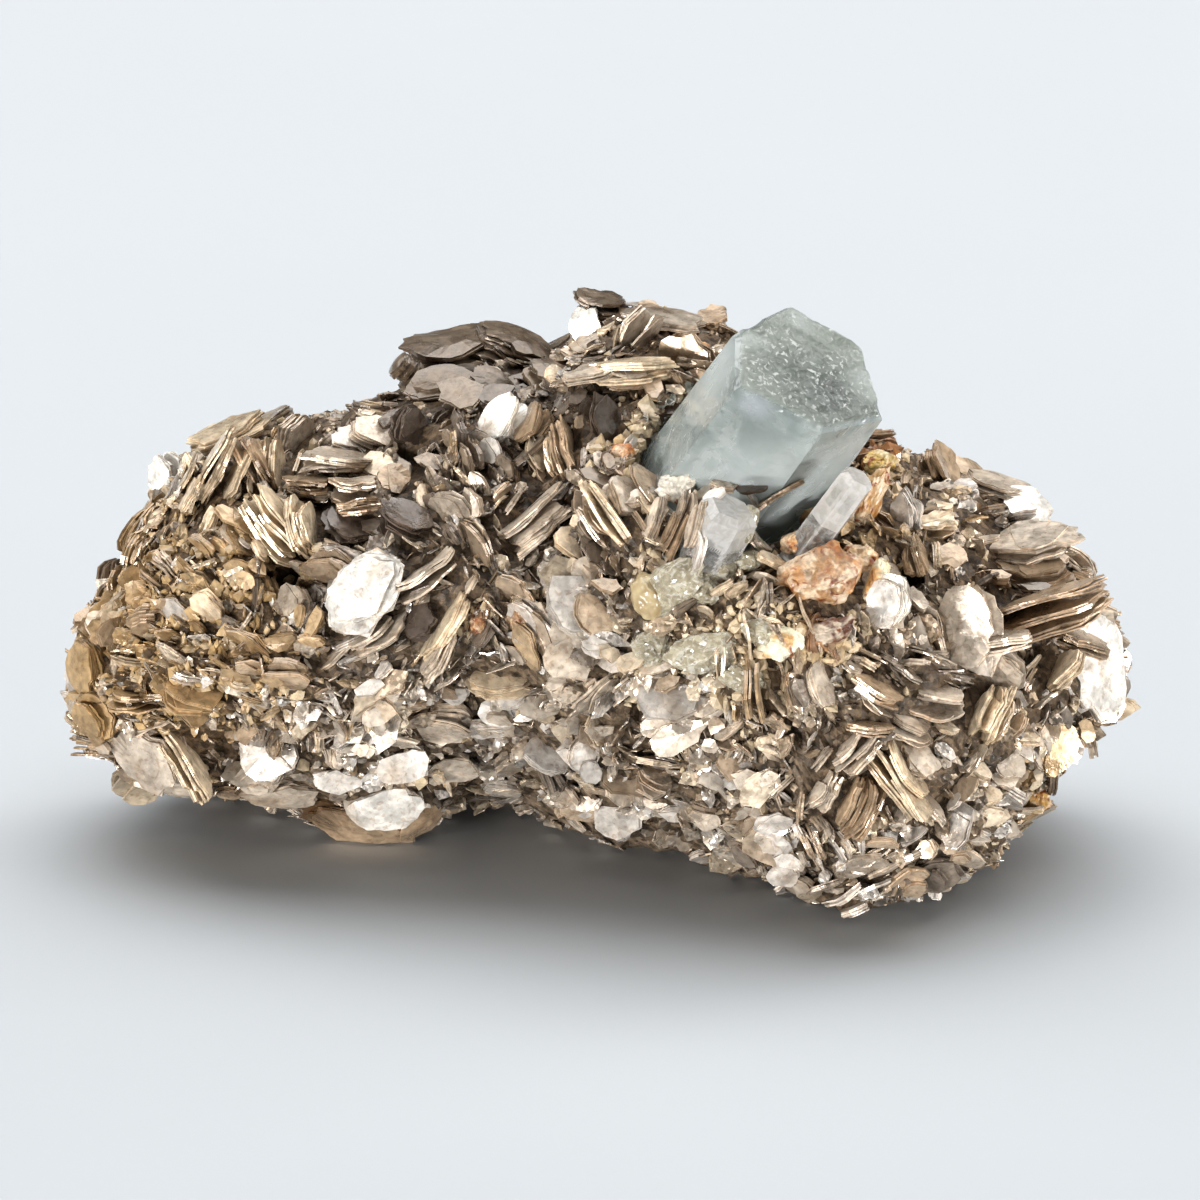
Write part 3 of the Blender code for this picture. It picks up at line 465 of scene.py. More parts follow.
class SpecimenSizes(bpy.types.PropertyGroup):
    """Sizes and counts of what grows on the rock."""

    sheet: length_property("Sheet spacing", 0.24, 0.1, 1.0, "From one mica sheet to the next in a book")
    flakes: count_property("Flakes", 9800, 12000, "How many small packs of flakes cover the rock")
    shards: count_property("Shards", 1280, 3000, "How many middle-sized packs stand between the books")
    flake: length_property("Flake size", 0.95, 0.5, 3.0, "Middle half length of a small flake")
    grains: count_property("Albite grains", 3400, 9000, "How many sugary albite grains there are")
    grain: length_property("Grain size", 0.46, 0.2, 1.5, "Middle radius of an albite grain")


class SpecimenColours(bpy.types.PropertyGroup):
    """Colours of the minerals and of the stage."""

    pearl: colour_property("Pearl mica", "d4cdc4", "Fresh mica faces")
    silver: colour_property("Silver mica", "c6b7a4", "Thin grey mica")
    brown: colour_property("Brown mica", "a89074", "Thick mica books")
    white: colour_property("White mica", "e6e0d6", "The brightest large faces")
    umber: colour_property("Umber mica", "6e5e4c", "Thick dark shells")
    smoky: colour_property("Smoky mica", "584b40", "Dark glassy mica")
    cream: colour_property("Cream mica", "d8c4a6", "Weathered book edges")
    honey: colour_property("Honey mica", "a6875a", "Iron-tinted mica and albite")
    rust: colour_property("Rust", "865a34", "Iron oxide between the grains")
    beryl: colour_property("Aquamarine", "8b9490", "Body of the large crystal")
    beryl_end: colour_property("Etched end", "858c80", "Etched end of the large crystal")
    quartz: colour_property("Clear crystal", "cec9c2", "Body of the clear crystals")
    albite: colour_property("Albite", "bfab8c", "The cream bead")
    feldspar: colour_property("Stained feldspar", "94704c", "The knob below the right crystal")
    floor: colour_property("Floor", "b2b6b9", "The surface that the specimen stands on")


def show(across, up, out):
    """A point given in the show plane, as a place in space, in millimetres above the resting plane."""
    return Vector((
        across,
        up * math.sin(SIGHT) - out * math.cos(SIGHT),
        up * math.cos(SIGHT) + out * math.sin(SIGHT) - GROUND,
    ))


EYE = (show(0, 0, 1) - show(0, 0, 0)).normalized()
UP = (show(0, 1, 0) - show(0, 0, 0)).normalized()
ACROSS = Vector((1, 0, 0))
SEEN = np.array(EYE)


def dots(first, second):
    """How far each row of the first lies along the same row of the second."""
    return (first * second).sum(axis=1)


def units(rows):
    """The rows, each with a length of one."""
    return rows / np.linalg.norm(rows, axis=1)[:, None]


def nearness(across, up, x, y, radius):
    """1 at a place of the show plane, falling off past this radius."""
    return np.exp(-((across - x) ** 2 + (up - y) ** 2) / radius ** 2)


def leaning(lean, toward):
    """The direction that leaves the eye line by lean degrees, toward an angle of the show plane."""
    turn = math.radians(toward)
    aside = math.cos(turn) * ACROSS + math.sin(turn) * UP
    return math.cos(math.radians(lean)) * EYE + math.sin(math.radians(lean)) * aside


def section_at(across):
    """The section values at this place, between the two nearest sections."""
    for left, right in zip(SECTIONS, SECTIONS[1:]):
        if across <= right[0]:
            break
    share = min(max((across - left[0]) / (right[0] - left[0]), 0.0), 1.0)
    return [a + (b - a) * share for a, b in zip(left, right)]


def section_point(across, angle):
    """A point of the rock's upright section: angle 0 is the back, 90 the crest, 180 the front."""
    _, crest, underside, depth, middle, heel, rake = section_at(across)
    half = (crest - underside) / 2
    power = 2 / ROUNDNESS
    swell = ROUNDNESS / (ROUNDNESS - 1)
    cosine, sine = math.cos(angle), math.sin(angle)
    back = depth * math.copysign(abs(cosine) ** power, cosine)
    lean = rake if sine > 0 else -heel
    rise = math.cos(SIGHT) + lean * math.sin(SIGHT)
    height = (half ** swell - (depth * math.sin(SIGHT)) ** swell) ** (1 / swell) / rise
    level = ((crest + underside) / 2 - middle * math.sin(SIGHT)) / math.cos(SIGHT)
    lift = height * math.copysign(abs(sine) ** power, sine)
    return Vector((across, middle + min(back + lean * lift, BACK_WALL * depth), level + lift - GROUND))


def lumpy(point, centre):
    """The point moved in or out along its line from the centre by the rock's lumps, and by its hollows."""
    outward = (point - centre).normalized()
    moved = point + outward * sum(size * noise.noise(point / spacing) for spacing, size in LUMPS)
    facing = max(outward.dot(EYE), 0.0)
    for across, up, radius, out in SWELLINGS:
        aside = Vector(((point - show(across, up, 0)).dot(ACROSS), (point - show(across, up, 0)).dot(UP)))
        moved += EYE * (facing * out * math.exp(-aside.length_squared / radius ** 2))
    return moved


def slice_place(index, slices):
    """How far across the slice of this number stands."""
    first, last = SECTIONS[0][0], SECTIONS[-1][0]
    turned = math.pi * (END_EASE + (1 - 2 * END_EASE) * index / (slices - 1))
    return first + (last - first) * (0.5 - 0.5 * math.cos(turned))


@lru_cache(maxsize=None)
def solid_rock():
    """The rock as the solid has it, before its books, for placing things on it."""
    bm = bmesh.new()
    rings = []
    for index in range(SLICES):
        across = slice_place(index, SLICES)
        points = [section_point(across, math.tau * turn / RING) for turn in range(RING)]
        centre = sum(points, Vector()) / RING
        rings.append([bm.verts.new(lumpy(point, centre)) for point in points])
    for ring, following in zip(rings, rings[1:]):
        for turn in range(RING):
            beyond = (turn + 1) % RING
            bm.faces.new((ring[turn], ring[beyond], following[beyond], following[turn]))
    for ring, shift in ((rings[0], -END_POINT), (rings[-1], END_POINT)):
        middle = sum((corner.co for corner in ring), Vector()) / RING
        tip = bm.verts.new(middle + shift * ACROSS)
        for turn in range(RING):
            bm.faces.new((ring[turn], ring[(turn + 1) % RING], tip))
    bmesh.ops.triangulate(bm, faces=bm.faces)
    bmesh.ops.recalc_face_normals(bm, faces=bm.faces)
    tree = BVHTree.FromBMesh(bm)
    bm.free()
    return tree


def edge_line(toward):
    """The level line of a face that leans toward this angle of the show plane."""
    turn = math.radians(toward)
    return -math.sin(turn) * ACROSS + math.cos(turn) * UP


def out_of_plane(point):
    """How far out of the show plane a point stands."""
    return (point - show(0, 0, 0)).dot(EYE)


def face_depth(across, up):
    """How far out the rock lies behind this place, stepping inward where the place is past its edge."""
    _, crest, underside, *_ = section_at(across)
    middle = (crest + underside) / 2
    for step in range(INWARD_STEPS):
        share = step / INWARD_STEPS
        start = show(across * (1 - INWARD_PULL * share), up + (middle - up) * share, FAR)
        hit = solid_rock().ray_cast(start, -EYE)[0]
        if hit:
            return out_of_plane(hit)
    return 0.0


@lru_cache(maxsize=None)
def crystal_tree():
    """The three prisms, for placing things against them."""
    points, faces = [], []
    for prism in PRISMS:
        levels = crystal_rings(*prism)
        start, sides = len(points), levels.shape[1]
        points += [tuple(point) for point in levels.reshape(-1, 3)]
        for level in range(len(levels) - 1):
            low = start + level * sides
            for at in range(sides):
                beyond = (at + 1) % sides
                faces.append((low + at, low + beyond, low + sides + beyond, low + sides + at))
        faces.append(tuple(range(start + (len(levels) - 1) * sides, start + len(levels) * sides)))
    return BVHTree.FromPolygons(points, faces)


def nearest_face(across, up):
    """How far out the rock or a crystal lies behind this place, whichever stands further out."""
    hit = crystal_tree().ray_cast(show(across, up, FAR), -EYE)[0]
    rock = face_depth(across, up)
    return max(rock, out_of_plane(hit)) if hit else rock


def crystal_clearance(point):
    """Distance from the point to the nearest crystal's surface, about."""
    nearest = FAR
    for (across, up, out, radius, length, lean, toward), _, _ in PRISMS:
        tip = show(across, up, out)
        axis = leaning(lean, toward)
        along = min(max((tip - point).dot(axis), 0.0), length)
        nearest = min(nearest, (point - (tip - axis * along)).length - radius)
    for across, up, out, radii, _, _ in (FRONT_LUMP, BEAD, KNOB):
        nearest = min(nearest, (point - show(across, up, out)).length - max(radii))
    return nearest


def clearances(points):
    """The same for each of many points."""
    return np.array([crystal_clearance(Vector(point)) for point in points])


def stood(book, depth, sink=0.0):
    """Centre, face direction, edge direction, half length, half width, thickness and colour of a book.

    Depth tells how far out the face lies that it stands on.
    """
    across, up, out, *size, lean, toward, colour = book
    centre = show(across, up, depth(across, up) + out - sink)
    return (centre, leaning(lean, toward), edge_line(toward), *size, colour)


@lru_cache(maxsize=None)
def named_places():
    """Every named book as it stands."""
    return [stood(book, face_depth, BOOK_SINK) for cluster in BOOKS.values() for book in cluster]


@lru_cache(maxsize=None)
def small_places():
    """The smaller books that stand all round the rock, where the solid has them, with the way out there."""
    draw = random.Random(SEEDS["small places"])
    tree = solid_rock()
    places = [row[0] for row in named_places()]
    first, last = SECTIONS[0][0] + END_ROOM, SECTIONS[-1][0] - END_ROOM
    made = []
    while len(made) < SMALL_BOOKS:
        across = draw.uniform(first, last)
        start = section_point(across, draw.uniform(*SMALL_RANGE) * math.pi)
        place, outward, *_ = tree.find_nearest(start)
        leaf = draw.uniform(*SMALL_LENGTH)
        thick = draw.uniform(*SMALL_THICK)
        aside = outward.orthogonal()
        aside.rotate(Matrix.Rotation(draw.uniform(0, math.tau), 3, outward))
        rim = abs(outward.dot(EYE)) < RIM_FACING
        tilt = math.radians(draw.uniform(*(FLAT_TILT if rim else SMALL_TILT)))
        normal = (math.cos(tilt) * outward + math.sin(tilt) * aside).normalized()
        along = normal.cross(outward).normalized()
        near = min((place - other).length for other in places)
        if near < SPACING or crystal_clearance(place) < CLEAR_OF_CRYSTALS or place.z < LOWEST_SMALL:
            continue
        places.append(place)
        width = leaf * draw.uniform(*SMALL_WIDTH)
        for _ in range(SMALL_CORNER_DRAWS):
            draw.random()
        made.append((place, normal, along, leaf, width, thick, outward))
    return made


@lru_cache(maxsize=None)
def solid_shift():
    """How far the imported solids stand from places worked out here: the whole was centred on the origin."""
    lowest = crystal_rings(*LARGE_PRISM).reshape(-1, 3).min(axis=0)
    return np.array(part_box("aquamarine")[0]) / MM - lowest


def crystal_frame(crystal):
    """The tip's middle, the axis toward it, and the two directions across the prism."""
    across, up, out, _, _, lean, toward = crystal
    axis = leaning(lean, toward)
    first = -edge_line(toward).normalized()
    return tuple(np.array(part) for part in (show(across, up, out), axis, first, axis.cross(first)))


def crystal_rings(crystal, corners, rings):
    """Corner points of each ring of a prism, as rings by corners by three."""
    tip, axis, first, second = crystal_frame(crystal)
    angles = np.radians([degrees for degrees, _ in corners])
    reach = np.array([share for _, share in corners]) * crystal[3]
    aside = (np.cos(angles) * reach)[:, None] * first + (np.sin(angles) * reach)[:, None] * second
    return np.array([tip - axis * drop + share * aside for drop, share in rings])


# Making meshes


def plate_faces(corners, rings):
    """Triangles of a thin plate: rings from its rim inward on top, one below, and whether each is rim."""
    faces, rim = [], []
    under = rings * corners
    top_middle, under_middle = under + corners, under + corners + 1
    for at in range(corners):
        beyond = (at + 1) % corners
        for ring in range(rings - 1):
            here, inner = ring * corners, (ring + 1) * corners
            faces += [(here + at, here + beyond, inner + beyond), (here + at, inner + beyond, inner + at)]
            rim += [False, False]
        last = (rings - 1) * corners
        faces.append((top_middle, last + at, last + beyond))
        faces.append((under_middle, under + beyond, under + at))
        faces += [(under + at, under + beyond, beyond), (under + at, beyond, at)]
        rim += [False, False, True, True]
    return np.array(faces), np.array(rim)


def hexagon_reach(turns, roundness):
    """Reach of a rounded hexagon at each turn, as a share of its corner distance."""
    within = np.mod(turns, math.pi / 3) - math.pi / 6
    flat = math.cos(math.pi / 6) / np.cos(within)
    return flat + (1 - flat) * roundness


def broken_edge(draw, turns, count, chance, nearest, furthest):
    """How far a straight break lets each outline reach at each turn; only some of them are broken."""
    facing = np.cos(turns - draw.uniform(0, math.tau, (count, 1)))
    depth = draw.uniform(nearest, furthest, (count, 1))
    broken = (draw.random((count, 1)) < chance) & (facing > BREAK_LEAST)
    return np.where(broken, depth / np.maximum(facing, BREAK_LEAST), UNBROKEN)


def outlines(draw, turns, bundle, holder, count, ragged, calm):
    """Reach of every sheet's outline: a hexagon for each pack, broken by bundle and again by sheet.

    The calmer it is, from 0 to 1, the rounder and the less broken.
    """
    reach = np.ones((count, len(turns)))
    for waves, size in OUTLINE_WAVES:
        shift = draw.uniform(0, math.tau, (count, 1))
        reach += draw.normal(0, size, (count, 1)) * np.cos(waves * turns + shift)
    start = draw.integers(0, len(turns), (count, 1)) * math.tau / len(turns)
    reach *= hexagon_reach(turns + start, draw.uniform(0.0, 0.4, (count, 1)) + 0.6 * calm)
    parts, total = len(holder), len(bundle)
    wild = 1.0 - calm
    size = 1.0 - 0.28 * draw.random((parts, 1)) ** 2
    edge = reach[holder] * size * (1 + draw.normal(0, ragged, (parts, len(turns))))
    for chance in (0.8, 0.5):
        edge = np.minimum(edge, broken_edge(draw, turns, parts, chance * wild, 0.55, 0.95))
    edge = edge[bundle] * (1.0 - 0.10 * draw.random((total, 1)))
    edge = edge * (1 + draw.normal(0, ragged, (total, len(turns))))
    edge = np.minimum(edge, broken_edge(draw, turns, total, 0.35 * wild, 0.45, 0.95))
    first = np.concatenate([[True], bundle[1:] != bundle[:-1]])
    outer = first | np.concatenate([first[1:], [True]])
    stepped = broken_edge(draw, turns, total, 0.7 * wild, 0.08, 0.8)
    return np.where(outer[:, None], np.minimum(edge, stepped), edge)


def packs(
    draw, centre, normal, along, length, width, thick, sheets, *, corners, rings, fan, outward=None,
    ragged=0.035, calm=0.0, bow=0.0,
):
    """Packs of mica sheets: points, triangles, each one's pack, brightness and rim mark, and heights.

    The sheets of a pack lie close in bundles. Each bundle has its own outline, curl and ripple, and the
    bundles open from the pack's buried end. The outer sheets of a bundle are broken across, so its face is
    stepped. A bow above 0 makes the sheets hollow, and one below 0 makes them domed.
    """
    count = len(centre)
    pack = np.repeat(np.arange(count), sheets)
    total = len(pack)
    order = np.arange(total) - (np.cumsum(sheets) - sheets)[pack]
    level = (order + 0.5) / sheets[pack] - 0.5
    bundles = np.clip(np.round(thick / BUNDLE).astype(int), 1, sheets)
    within = ((level + 0.5) * bundles[pack]).astype(int)
    bundle = (np.cumsum(bundles) - bundles)[pack] + within
    holder = np.repeat(np.arange(count), bundles)
    parts = len(holder)
    turns = math.tau * np.arange(corners) / corners
    edge = outlines(draw, turns, bundle, holder, count, ragged, calm)

    def varied(sizes, *wide):
        """A draw for each bundle with a smaller one for each sheet."""
        return draw.normal(0, sizes[0], (parts, *wide))[bundle] + draw.normal(0, sizes[1], (total, *wide))

    slide = varied(SLIDE, 2)
    x = (edge * np.cos(turns) + slide[:, :1]) * length[pack][:, None]
    y = (edge * np.sin(turns) + slide[:, 1:]) * width[pack][:, None]

    if outward is None:
        inward = -SEEN + (normal @ SEEN)[:, None] * normal
    else:
        inward = -outward + dots(normal, outward)[:, None] * normal
    strength = np.linalg.norm(inward, axis=1)
    inward = inward / np.maximum(strength, 1e-6)[:, None]
    part_level = (within + 0.5) / bundles[pack] - 0.5
    spread = (draw.uniform(*OPENING, count) * fan * np.minimum(strength * 1.5, 1.0))[pack] * part_level * 2
    spread += varied(SPREAD)
    across = np.cross(normal, inward)
    open_normal = normal[pack] * np.cos(spread)[:, None] + inward[pack] * np.sin(spread)[:, None]
    open_inward = inward[pack] * np.cos(spread)[:, None] - normal[pack] * np.sin(spread)[:, None]
    axis = across[pack] * dots(along, across)[pack][:, None]
    axis = axis + open_inward * dots(along, inward)[pack][:, None]
    beside = np.cross(open_normal, axis)
    depth = np.minimum(length, width)[pack][:, None]
    middle = centre[pack] + inward[pack] * depth - open_inward * depth
    middle = middle + open_normal * (level * thick[pack])[:, None]

    curl = varied(CURL, 3) + np.array((bow, 0.0, bow))
    span = length[pack][:, None]
    ripple = (draw.uniform(0, RIPPLE, parts)[bundle])[:, None] * span
    ripple_turn = draw.uniform(0, math.tau, parts)[bundle]
    ripple_rate = draw.uniform(*RIPPLE_RATE, parts)[bundle]
    ripple_start = (draw.uniform(0, math.tau, parts)[bundle] + draw.normal(0, 0.3, total))[:, None]
    half = (thick / sheets)[pack] * draw.uniform(*SHEET_HALF, total)

    def sheet_points(share, side):
        """The points of every sheet's outline drawn in to this share, on its top side or, at -1, under it."""
        px, py = x * share, y * share
        bend = (curl[:, :1] * px ** 2 + curl[:, 1:2] * px * py + curl[:, 2:] * py ** 2) / span
        run = (px * np.cos(ripple_turn)[:, None] + py * np.sin(ripple_turn)[:, None]) / span
        bend = bend + ripple * np.sin(run * ripple_rate[:, None] + ripple_start)
        height = bend + side * half[:, None]
        flat = middle[:, None] + px[..., None] * axis[:, None] + py[..., None] * beside[:, None]
        return flat + height[..., None] * open_normal[:, None]

    tops = [sheet_points(1.0 - ring / rings, 1.0) for ring in range(rings)]
    under = sheet_points(1.0, -1.0)
    caps = np.concatenate([sheet_points(0.0, side)[:, :1] for side in (1.0, -1.0)], axis=1)
    points = np.concatenate([*tops, under, caps], axis=1)
    faces, rim = plate_faces(corners, rings)
    triangles = faces[None] + (np.arange(total) * points.shape[1])[:, None, None]
    bright = draw.uniform(*BRIGHT, total)
    edge_bright = draw.uniform(*EDGE_BRIGHT, total)
    shade = np.where(rim[None], edge_bright[:, None], bright[:, None])
    owner = np.repeat(pack, len(faces))
    side = np.concatenate([np.ones(rings * corners), -np.ones(corners), (1.0, -1.0)])
    heights = draw.uniform(0, HEIGHT_START, count)[pack][:, None] + (level * thick[pack])[:, None]
    heights = heights + side * half[:, None]
    return (
        points.reshape(-1, 3), triangles.reshape(-1, 3), owner, shade.ravel(), np.tile(rim, total),
        heights.ravel(),
    )


def mesh_piece(name, points, triangles, finish, tints=None, smooth=False, rim=None, heights=None):
    """A piece of the specimen from millimetres, with a colour for each of its faces.

    Mica also has a mark on the faces that are edges of sheets, and each point's height in its pack.
    """
    placed = points + solid_shift()
    placed[:, 2] = np.maximum(placed[:, 2], FLOOR_GAP)
    mesh = bpy.data.meshes.new(name)
    mesh.vertices.add(len(placed))
    mesh.vertices.foreach_set("co", (placed * MM).astype(np.float32).ravel())
    mesh.loops.add(triangles.size)
    mesh.loops.foreach_set("vertex_index", triangles.astype(np.int32).ravel())
    mesh.polygons.add(len(triangles))
    mesh.polygons.foreach_set("loop_start", np.arange(0, triangles.size, 3, dtype=np.int32))
    mesh.update(calc_edges=True)
    mesh.polygons.foreach_set("use_smooth", np.full(len(triangles), smooth))
    if tints is not None:
        layer = mesh.attributes.new("tint", "FLOAT_COLOR", "FACE")
        rgba = np.ones((len(triangles), 4), np.float32)
        rgba[:, :3] = np.clip(tints, 0.0, BRIGHTEST)
        if rim is not None:
            rgba[:, 3] = rim
        layer.data.foreach_set("color", rgba.ravel())
    if heights is not None:
        layer = mesh.attributes.new("height", "FLOAT", "POINT")
        layer.data.foreach_set("value", heights.astype(np.float32))
    mesh.materials.append(finish)
    obj = bpy.data.objects.new(name, mesh)
    bpy.context.scene.collection.objects.link(obj)
    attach(obj, "root")
    return obj


# Colours of the rock


def palette():
    """The mica colours set in the panel."""
    colours = bpy.context.scene.specimen_colours
    return {name: np.array(getattr(colours, name)) for name in COMMON}


def colour_table():
    """The same as rows."""
    return np.array(list(palette().values()))


def show_places(points):
    """Across and up in the show plane of points in space."""
    from_middle = points - np.array(show(0, 0, 0))
    return from_middle @ np.array(ACROSS), from_middle @ np.array(UP)


def colour_weights(points):
    """How much of each mica colour grows at these points, each row adding up to one."""
    across, up = show_places(points)
    weights = np.tile(np.array(list(COMMON.values())), (len(points), 1))
    names = list(COMMON)
    for name, x, y, radius, weight in ZONES:
        weights[:, names.index(name)] += weight * nearness(across, up, x, y, radius)
    return weights / weights.sum(axis=1, keepdims=True)


def drawn_colours(draw, points):
    """A mica colour for each point, drawn from those that grow there, with a little change of its own."""
    weights = colour_weights(points)
    choice = (weights.cumsum(axis=1) < draw.random((len(points), 1))).sum(axis=1)
    table = colour_table()
    own = table[np.minimum(choice, len(table) - 1)]
    return (own + (weights @ table - own) * OWN_BLEND) * draw.uniform(*OWN_VARIES, (len(points), 1))


# Materials


def link(tree, node, links):
    """Links each source to the socket of this name or number."""
    for key, source in links.items():
        tree.links.new(source, node.inputs[key])


def add_node(tree, kind, settings=None, links=None):
    """Adds a node, sets its own values or its sockets', and links its sockets."""
    node = tree.nodes.new(kind)
    for key, value in (settings or {}).items():
        if isinstance(key, int) or key in node.inputs:
            node.inputs[key].default_value = value
        else:
            setattr(node, key, value)
    link(tree, node, links or {})
    return node


def new_finish(name, settings):
    """A material with its Principled shader set, and its tree."""
    finish = bpy.data.materials.new(name)
    finish.use_nodes = True
    shader = finish.node_tree.nodes["Principled BSDF"]
    for key, value in settings.items():
        shader.inputs[key].default_value = value
    return finish, finish.node_tree, shader


def attribute(tree, name):
    """The outputs of a mark that the mesh carries."""
    return add_node(tree, "ShaderNodeAttribute", {"attribute_name": name}).outputs


def object_place(tree):
    """The place on the object, in metres."""
    return add_node(tree, "ShaderNodeTexCoord").outputs["Object"]


def parts_of(tree, colour):
    """The red, green and blue of a colour."""
    return add_node(tree, "ShaderNodeSeparateColor", None, {"Color": colour}).outputs


def vector_step(tree, operation, settings, links):
    """The outputs of one step of working with vectors."""
    return add_node(tree, "ShaderNodeVectorMath", {"operation": operation, **settings}, links).outputs


def mottle(tree, spacing, detail=3.0, distortion=0.0):
    """A noise whose blotches stand this many millimetres apart."""
    settings = {"Scale": 1.0 / (spacing * MM), "Detail": detail, "Distortion": distortion}
    return add_node(tree, "ShaderNodeTexNoise", settings, {"Vector": object_place(tree)}).outputs["Fac"]


def cells(tree, spacing):
    """A colour of its own for each of many small cells, this many millimetres wide."""
    settings = {"Scale": 1.0 / (spacing * MM)}
    return add_node(tree, "ShaderNodeTexVoronoi", settings, {"Vector": object_place(tree)}).outputs["Color"]


def ramp(tree, source, low, high, from_value, to_value):
    """A value that goes from the one to the other while the source goes from low to high."""
    settings = {"From Min": low, "From Max": high, "To Min": from_value, "To Max": to_value}
    return add_node(tree, "ShaderNodeMapRange", settings, {"Value": source}).outputs["Result"]


def blotches(tree, spots, *levels):
    """A ramp over a mottle, whose own values are given together."""
    return ramp(tree, mottle(tree, *spots), *levels)


def mixed(tree, share, first, second, blend="MIX"):
    """Two colours mixed; each is a socket or a plain colour."""
    settings, links = {"data_type": "RGBA", "blend_type": blend}, {}
    for key, value in ((0, share), (6, first), (7, second)):
        if isinstance(value, bpy.types.NodeSocket):
            links[key] = value
        elif key:
            settings[key] = (*value, 1.0)
        else:
            settings[key] = value
    return add_node(tree, "ShaderNodeMix", settings, links).outputs[2]


def times(tree, first, second):
    """Two colours multiplied."""
    return mixed(tree, 1.0, first, second, "MULTIPLY")


def bumps(tree, strength, height, depth, under=None):
    """Bumps of a depth in millimetres, over others where those are given."""
    settings, links = {"Distance": depth * MM}, {"Height": height}
    (links if isinstance(strength, bpy.types.NodeSocket) else settings)["Strength"] = strength
    if under is not None:
        links["Normal"] = under
    return add_node(tree, "ShaderNodeBump", settings, links).outputs["Normal"]


def absorb(tree, colour, density):
    """Light dies away inside the piece, least where it has this colour."""
    depth = add_node(tree, "ShaderNodeVolumeAbsorption", {"Color": (*colour, 1.0), "Density": density})
    link(tree, tree.nodes["Material Output"], {"Volume": depth.outputs["Volume"]})


def turned_scales(tree, scales):
    """The way each small scale faces, turned from the flake's face by the scale's colour."""
    turned = vector_step(tree, "SUBTRACT", {1: (0.5, 0.5, 0.5)}, {0: scales})["Vector"]
    turned = vector_step(tree, "SCALE", {"Scale": SCALE_TURN}, {0: turned})["Vector"]
    face = add_node(tree, "ShaderNodeNewGeometry").outputs["Normal"]
    turned = vector_step(tree, "ADD", {}, {0: face, 1: turned})["Vector"]
    return vector_step(tree, "NORMALIZE", {}, {0: turned})["Vector"]


def mica_finish(fine=False):
    """Muscovite mica, cleaved: satin pearly faces over fine ripples, silvery where they catch a light.

    The fine kind is for small flakes, whose faces are broken into scales that each catch the light apart.
    """
    name = "Muscovite mica, fine scales" if fine else "Muscovite mica, cleaved sheets"
    finish = bpy.data.materials.get(name)
    if finish:
        return finish
    settings = {"Metallic": 0.30, "IOR": 1.58, "Coat Weight": 0.30, "Coat Roughness": 0.20}
    finish, tree, shader = new_finish(name, settings)
    own, height = attribute(tree, "tint"), attribute(tree, "height")["Fac"]
    # The real layers and ripples are finer, and would not show
    settings = {"noise_dimensions": "1D", "Scale": 1.0 / LAYER, "Detail": 2.0}
    layers = add_node(tree, "ShaderNodeTexNoise", settings, {"W": height}).outputs["Fac"]
    ripple = mottle(tree, 0.4, 1.0)
    lined = mixed(tree, own["Alpha"], own["Color"], ramp(tree, layers, 0.36, 0.64, 0.5, 1.3), "MULTIPLY")
    clouds = mottle(tree, 2.2, 2.0)  # clouding a few mm wide
    marked = times(tree, lined, ramp(tree, clouds, 0.35, 0.68, 0.78, 1.16))
    if fine:
        scales = cells(tree, 0.42)
        marked = times(tree, marked, ramp(tree, parts_of(tree, scales)["Red"], 0.0, 1.0, 0.55, 1.42))
        under = turned_scales(tree, scales)
    else:
        crazed = blotches(tree, (0.8, 2.0), 0.34, 0.66, 0.80, 1.16)  # and finer, where it is cracked
        marked = times(tree, marked, crazed)
        streaks = blotches(tree, (1.4, 2.0, 2.5), 0.54, 0.66, 0.0, 0.45)  # lines where sheets have parted
        marked = mixed(tree, streaks, marked, times(tree, marked, linear("b89878")))
        under = bumps(tree, 0.3, mottle(tree, 1.3, 1.0), 0.25)  # folds
    stain = blotches(tree, (5.0, 2.0), 0.56, 0.72, 0.0, 0.45)  # iron stain
    honey = tuple(bpy.context.scene.specimen_colours.honey)
    link(tree, shader, {
        "Base Color": mixed(tree, stain, marked, times(tree, marked, honey)),
        "Roughness": ramp(tree, clouds, 0.3, 0.7, 0.18, 0.48),
        "Normal": bumps(tree, 0.4, ripple, 0.08, under),
    })
    return finish


def skin_finish():
    """Albite and fine mica, grown as a grainy mass: dull between the sheets, with a sugary break."""
    settings = {"IOR": 1.53, "Specular IOR Level": 0.15}
    finish, tree, shader = new_finish("Albite and fine mica, grainy", settings)
    chips = parts_of(tree, cells(tree, 0.7))["Red"]  # broken flakes
    flecked = times(tree, attribute(tree, "tint")["Color"], ramp(tree, chips, 0.0, 1.0, 0.35, 1.5))
    link(tree, shader, {
        "Base Color": times(tree, flecked, blotches(tree, (0.8, 2.0), 0.34, 0.66, 0.55, 1.2)),
        "Roughness": blotches(tree, (0.7, 1.0), 0.3, 0.7, 0.3, 0.65),
        "Normal": bumps(tree, 0.8, mottle(tree, 0.35, 2.0), 0.15, bumps(tree, 0.7, chips, 0.25)),
    })
    return finish


def grain_finish():
    """Albite, grown in sugary grains: pale and glassy, with a sparkle on each small face."""
    finish, tree, shader = new_finish("Albite, sugary grains", {"IOR": 1.53, "Roughness": 0.28})
    cloud = blotches(tree, (0.6,), 0.34, 0.66, 0.75, 1.15)
    link(tree, shader, {
        "Base Color": times(tree, attribute(tree, "tint")["Color"], cloud),
        "Normal": bumps(tree, 0.4, mottle(tree, 0.3), 0.06),
    })
    return finish


